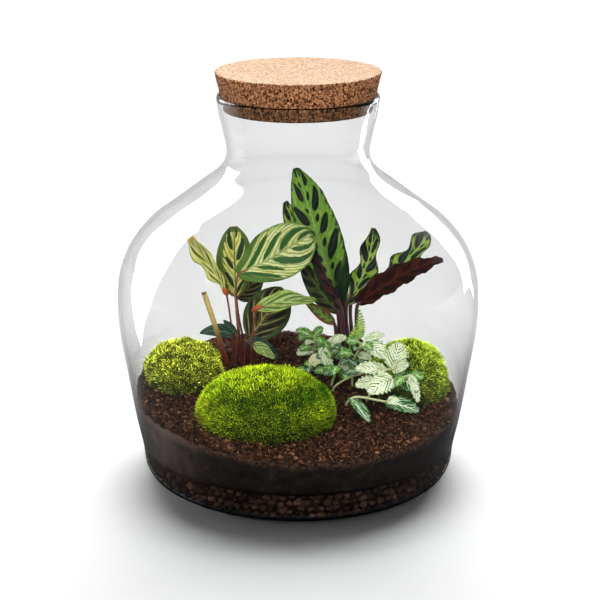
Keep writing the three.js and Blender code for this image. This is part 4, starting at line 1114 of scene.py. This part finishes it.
nervePlant = {
    "stem": 0.9, "petiole": 0.7, "arch": 1.2,
    "small": {"back": 9, "left": 7, "middle": 9, "low": 8, "centre": 8, "right_high": 5, "right_low": 4,
              "trailing": 1},       # how many more small leaves grow along each stem
    "sprigs": {        # stem points, then leaves as foot, tip, half width, facing and look
        "back": [[(13, 52), (13, 49, 74), (13, 48, 84)],
                 [(12, 48, 83), (-2, 46, 89), 5, (0, -0.5, 0.8), "nerveFresh"],
                 [(13, 48, 84), (20, 47, 91), 4, (0.2, -0.7, 0.6), "nerveFresh"],
                 [(12, 47, 73), (-1, 41, 71), 5, (0, -0.6, 0.8), "nerveWhite"]],
        "left": [[(9, 29), (9.3, 29.2, 63), (10, 30, 66)],
                 [(10, 30, 66), (18, 28, 75), 5, (-0.3, -0.8, 0.4), "nervePale"]],
        "middle": [[(24, 31), (24.5, 31, 70), (24, 32, 82)],
                   [(23, 33, 82), (38, 33, 88), 5, (0, -0.5, 0.8), "nerveWhite"],
                   [(25, 31, 77), (19, 28, 87), 3.6, (-0.2, -0.8, 0.5), "nerveFresh"],
                   [(26, 31, 76), (34, 30, 82), 3.6, (0.2, -0.8, 0.5), "nerveWhite"],
                   [(18, 30, 81), (26, 22, 64), 5, (0, -0.9, 0.3), "nerveWhite"]],
        "low": [[(26, 9), (32, 13, 73), (34, 14, 77)],
                [(33, 14, 76), (38, 8, 69), 3.6, (0.1, -0.9, 0.4), "nerveWhite"],
                [(34, 14, 76), (34, 16, 87), 4.2, (0, -1, 0.1), "nerveGreen"]],
        "centre": [[(42, 10), (43, 9, 78), (50, 5, 94)],
                   [(50, 4, 95), (68, -4, 84), 8, (0.2, -0.7, 0.6), "nerveWhite"],
                   [(51, 5, 95), (66, 8, 99), 4, (0, -0.6, 0.8), "nerveWhite"]],
        "right_high": [[(27, 1), (42, -9, 72), (70, -16, 80)],
                       [(71, -16, 81), (77, -12, 100), 9.5, (0.1, -0.9, 0.3), "nerveWhite"],
                       [(66, -15, 79), (43, -18, 81), 5.6, (0, -0.75, 0.6), "nerveWhite"],
                       [(71, -17, 79), (83, -22, 86), 5, (-0.1, -0.8, 0.5), "nerveWhite"]],
        "right_low": [[(52, -19), (66, -21, 71), (84, -26, 79)],
                      [(71, -23, 75), (52, -34, 68), 9, (0.1, -0.7, 0.7), "nerveWhite"],
                      [(62, -20, 71), (43, -25, 70), 6, (-0.1, -0.7, 0.6), "nerveWhite"],
                      [(75, -23, 76), (90, -33, 69), 8, (0.1, -0.75, 0.6), "nerveGreen"],
                      [(84, -27, 79), (89, -37, 62), 4.5, (0.4, -0.8, 0.3), "nerveWhite"]],
        "trailing": [[(36, -29), (42, -35, 65), (65, -36, 62)],
                     [(39, -34, 64), (51.5, -61, 56), 6, (0.3, -0.4, 0.8), "nerveGreen"],
                     [(65, -36, 62), (89, -46, 58), 7, (0, -0.6, 0.8), "nerveGreen"]],
    },
}


def paleStem():
    material, tree, surface = newMaterial("paleStem", 0.5)
    mottled = ramp(tree, clouds(tree, 120, 3), [(0.35, (0.26, 0.36, 0.12)), (0.65, (0.5, 0.5, 0.27))])
    colorOf(tree, surface, mottled)
    return material


# Pairs of small leaves on a stem, from its middle to its tip.
def smallLeaves(line, count, rng):
    leaves = []
    for k in range(count):
        share = 0.55 + 0.45 * (k // 2 + 0.5) / (count / 2)
        spot = line[min(int(share * len(line)), len(line) - 1)]
        turn = rng.uniform(-0.6, 0.6) + (math.pi if k % 2 else 0) + 0.6 * (k // 2)
        away = Vector((math.cos(turn), math.sin(turn) * 0.7 - 0.2, rng.uniform(-0.15, 0.75))).normalized()
        near = rng.uniform(1.5, 6)
        foot = spot + away * near
        away.z -= 0.5
        tip = foot + away.normalized() * rng.uniform(8, 11.5)
        face = (rng.uniform(-0.3, 0.3), rng.uniform(-0.85, -0.5), rng.uniform(0.4, 0.9))
        look = rng.choice(("nerveFresh", "nerveFresh", "nerveGreen", "nerveWhite"))
        leaves.append((foot, tip, rng.uniform(3.0, 4.4), face, look))
    return leaves


def makeNervePlant():
    stemLook = paleStem()
    kinds = ["nerveWhite", "nerveGreen", "nerveFresh", "nervePale"]
    rng = random.Random(8)
    for name, (stem, *leaves) in nervePlant["sprigs"].items():
        root, *bends = stem
        line = curveThrough(stemPoints(root, 2, bends), 24)
        leaves = leaves + smallLeaves(line, nervePlant["small"][name], rng)
        bm = bmesh.new()
        bm.loops.layers.uv.new("UVMap")
        drawBar(bm, [spot * mm for spot in line], [nervePlant["stem"] * mm] * 25, 8)
        for foot, tip, half, face, look in leaves:
            middle = (Vector(foot) + Vector(tip)) / 2 + up * nervePlant["arch"]
            leaf = {"foot": foot, "middle": middle, "tip": tip, "half": half, "face": face, "fold": 12,
                    "outline": "oval", "veins": 7, "ridge": 0.4, "waves": 3, "flutter": 0.5, "teeth": 7}
            drawSmallBlade(bm, leaf, 12, 28, 1 + kinds.index(look))
            at, _ = ribOf(foot, middle, tip)
            joint = min(line, key=lambda spot: (spot - Vector(foot)).length)
            petiole = [spot * mm for spot in curveThrough([joint, at(0.12), at(0.3)], 6)]
            drawBar(bm, petiole, [nervePlant["petiole"] * mm * (1 - 0.09 * k) for k in range(7)], 6)
        bmesh.ops.recalc_face_normals(bm, faces=bm.faces)
        looks = [stemLook] + [faceOf(kind) for kind in kinds]
        keepPiece(bm, "nerveSprig" + joined(name), looks, "leaf_white", ["nerve_sprig_" + name])


fernFrond = {"root": (41, 34), "foot": (41, 36, 83), "middle": (46.5, 36, 96), "tip": (47, 36, 112),
             "leaflets": 11, "left": 5, "right": 12}


def makeFern():
    at, _ = ribOf(fernFrond["foot"], fernFrond["middle"], fernFrond["tip"])
    bm = bmesh.new()
    bm.loops.layers.uv.new("UVMap")
    points = stemPoints(fernFrond["root"], 2, [fernFrond["foot"], at(0.6), at(1)])
    line = [spot * mm for spot in curveThrough(points, 30)]
    drawBar(bm, line, [(0.8 - 0.018 * k) * mm for k in range(31)], 6)
    for k in range(fernFrond["leaflets"]):
        share = k / fernFrond["leaflets"]
        for reach, sign in ((fernFrond["right"], 1), (fernFrond["left"], -1)):
            long = reach * (1 - share) ** 0.8
            foot = at(share)
            tip = foot + Vector((sign * 0.9, -0.1, 0.45)).normalized() * long
            leaf = {"foot": foot, "middle": (foot + tip) / 2 + up * 0.08 * long, "tip": tip,
                    "half": 1.2 * (1 - 0.4 * share), "face": (0, -1, 0.2), "outline": "oval", "fold": 12,
                    "veins": 6, "ridge": 0.12, "flutter": 0.1, "teeth": 7}
            drawSmallBlade(bm, leaf, 4, 12)
    bmesh.ops.recalc_face_normals(bm, faces=bm.faces)
    look, tree, surface = newMaterial("fernGreen", 0.5)
    mottled = ramp(tree, clouds(tree, 160, 3), [(0.35, (0.08, 0.24, 0.012)), (0.65, (0.46, 0.6, 0.1))])
    colorOf(tree, surface, mottled)
    keepPiece(bm, "fernFrond", [look], "fern", ["fern_frond"])


studio = {
    "sun": {"strength": 4.6, "spread": 46, "height": 48, "turn": -3},
    "lamps": {        # watts, size, spot; these light the object and leave floor and glass alone
        "above": (15, 700, (-250, -250, 1250)),
        "front": (17, 700, (-420, -1150, 800)),
        "right": (6, 500, (900, -450, 600)),
    },
    # White panels behind the jar, seen only in the mirror image on the glass: azimuth from the front,
    # distance, corners sideways and up. Glass further off than the spot is, by past, sees them dimmed.
    # A program traced the corners from the photograph's highlights and searched for the spots.
    "panels": {
        "left": {"turn": -148, "distance": 180, "spot": (-90, -10, 155), "past": 2, "corners": [
            (236, 30), (272, 69), (315, 99), (310, 118), (336, 137), (340, 215), (317, 281), (282, 324),
            (222, 359), (148, 378), (160, 502), (143, 507), (133, 541), (43, 339), (68, 307), (81, 284),
            (79, 277), (84, 257), (133, 207), (172, 177), (185, 153), (207, 139), (198, 114), (211, 94),
            (216, 67)]},
        "right": {"turn": 164, "distance": 180, "spot": (115, 70, 240), "past": 109.7, "corners": [
            (-194, 92), (-207, 131), (-199, 169), (-141, 211), (-132, 223), (-92, 220), (-104, 273),
            (-96, 279), (-69, 370), (-159, 358), (-160, 310), (-169, 291), (-204, 283), (-233, 260),
            (-246, 212), (-238, 145), (-287, 121), (-236, 128)]},
    },
    "panelGlow": (7, 0.6),      # full, and dimmed for the neck
    "dim": 0.07,         # what the room gives everything but the white behind the jar
    "mirrored": 0.65,    # how much of that white the glass mirrors
}


def aimedAt(light, target):
    light.rotation_euler = (Vector(target) - light.location).to_track_quat("-Z", "Y").to_euler()


def addLight(name, kind, **settings):
    data = bpy.data.lights.new(name, kind)
    for key, value in settings.items():
        setattr(data, key, value)
    light = bpy.data.objects.new(name, data)
    scene.collection.objects.link(light)
    return light


def makeFloor():
    bm = bmesh.new()
    bmesh.ops.create_grid(bm, x_segments=8, y_segments=8, size=12)
    floor = bpy.data.objects.new("paleFloor", meshOf(bm, "paleFloor"))
    scene.collection.objects.link(floor)
    white, tree, surface = newMaterial("paleFloor", 0.9, Specular_IOR_Level=0.0)
    mottled = ramp(tree, clouds(tree, 3, 2), [(0.3, (0.9, 0.9, 0.9)), (0.7, (0.92, 0.92, 0.92))])
    colorOf(tree, surface, mottled)
    dark = put(tree, "BsdfDiffuse", {"Color": (0.05, 0.05, 0.05, 1)})      # mirrored, its front is dark
    depth = axisOf(tree, 1)
    bounced = sums(tree, "MINIMUM", put(tree, "LightPath").outputs["Glossy Depth"], 1.0)
    mirrored = studio["mirrored"]
    share = sums(tree, "MULTIPLY_ADD", step(tree, depth, 0.3, 0.0), mirrored, 1 - mirrored)
    mix = put(tree, "MixShader", {0: sums(tree, "MULTIPLY", bounced, share),
                                  1: surface.outputs["BSDF"], 2: dark.outputs[0]})
    tree.links.new(mix.outputs[0], tree.nodes["Material Output"].inputs["Surface"])
    floor.data.materials.append(white)
    return floor


def makeStudio(jar):
    scene.view_settings.view_transform = "Standard"
    floor = makeFloor()
    plan = studio["sun"]
    sun = addLight("softSun", "SUN", energy=plan["strength"], angle=math.radians(plan["spread"]))
    sun.rotation_euler = (-math.radians(90 - plan["height"]), 0, math.radians(plan["turn"]))
    sun.visible_glossy = False
    sun.visible_transmission = False
    spared = bpy.data.collections.new("sparedByLamps")
    spared.objects.link(floor)
    spared.objects.link(jar)
    for name, (power, size, spot) in studio["lamps"].items():
        lamp = addLight(name + "Lamp", "AREA", energy=power, size=size * mm)
        lamp.location = Vector(spot) * mm
        aimedAt(lamp, (0, 0, 0.1))
        lamp.visible_transmission = False
        lamp.light_linking.receiver_collection = spared
    for member in spared.collection_objects:
        member.light_linking.link_state = "EXCLUDE"
    for name, panel in studio["panels"].items():
        makePanel(name + "Panel", panel)
    world = bpy.data.worlds.new("studio")
    scene.world = world
    world.use_nodes = True
    tree = world.node_tree
    path = put(tree, "LightPath").outputs
    behind = put(tree, "SeparateXYZ", {"Vector": put(tree, "TexCoord").outputs["Generated"]}).outputs[1]
    behind = sums(tree, "MULTIPLY", step(tree, behind, 0.3, 0.95), studio["mirrored"])
    behind = sums(tree, "MULTIPLY", behind, sums(tree, "LESS_THAN", path["Diffuse Depth"], 0.5))
    bounced = sums(tree, "MINIMUM", sums(tree, "ADD", path["Diffuse Depth"], path["Glossy Depth"]), 1.0)
    bounced = sums(tree, "MULTIPLY", bounced, sums(tree, "SUBTRACT", 1.0, behind))
    glow = sums(tree, "MULTIPLY_ADD", bounced, studio["dim"] - 1.0, 1.0)
    tree.links.new(glow, tree.nodes["Background"].inputs["Strength"])
    tree.nodes["Background"].inputs["Color"].default_value = (1, 1, 1, 1)


def makePanel(name, panel):
    turn = math.radians(panel["turn"])
    out = Vector((math.sin(turn), -math.cos(turn), 0))
    side = Vector((math.cos(turn), math.sin(turn), 0))
    bm = bmesh.new()
    spots = [bm.verts.new((out * panel["distance"] + side * across + up * height) * mm)
             for across, height in panel["corners"]]
    bm.faces.new(spots)
    bmesh.ops.triangulate(bm, faces=bm.faces)
    board = bpy.data.objects.new(name, meshOf(bm, name))
    scene.collection.objects.link(board)
    lit, tree, _ = newMaterial(name)
    spot = Vector(panel["spot"]) * mm
    reach = put(tree, "VectorMath", {0: objectPlace(tree), 1: spot}, operation="DISTANCE").outputs["Value"]
    reach = sums(tree, "ADD", reach, panel["past"] * mm)
    path = put(tree, "LightPath").outputs
    past = sums(tree, "GREATER_THAN", path["Ray Length"], reach)
    past = sums(tree, "MULTIPLY", past, sums(tree, "LESS_THAN", path["Diffuse Depth"], 0.5))
    full, dimmed = studio["panelGlow"]
    glow = sums(tree, "MULTIPLY_ADD", past, dimmed - full, full)
    glowing = put(tree, "Emission", {"Color": (1, 1, 1, 1), "Strength": glow})
    tree.links.new(glowing.outputs[0], tree.nodes["Material Output"].inputs["Surface"])
    board.data.materials.append(lit)
    board.visible_camera = False
    board.visible_diffuse = False
    board.visible_transmission = False
    board.visible_shadow = False


print("camera, jar and studio")
setCamera()
makeStudio(makeJar())
print("cork")
makeCork()
print("soil and pebbles")
makeSoil()
makeSoilLitter()
makePebbles()
print("moss")
for side, cushion in mossCushions.items():
    makeMoss(side, cushion)
print("plants")
makePeacockPlant()
makeRattlesnakePlant()
makeNervePlant()
makeFern()
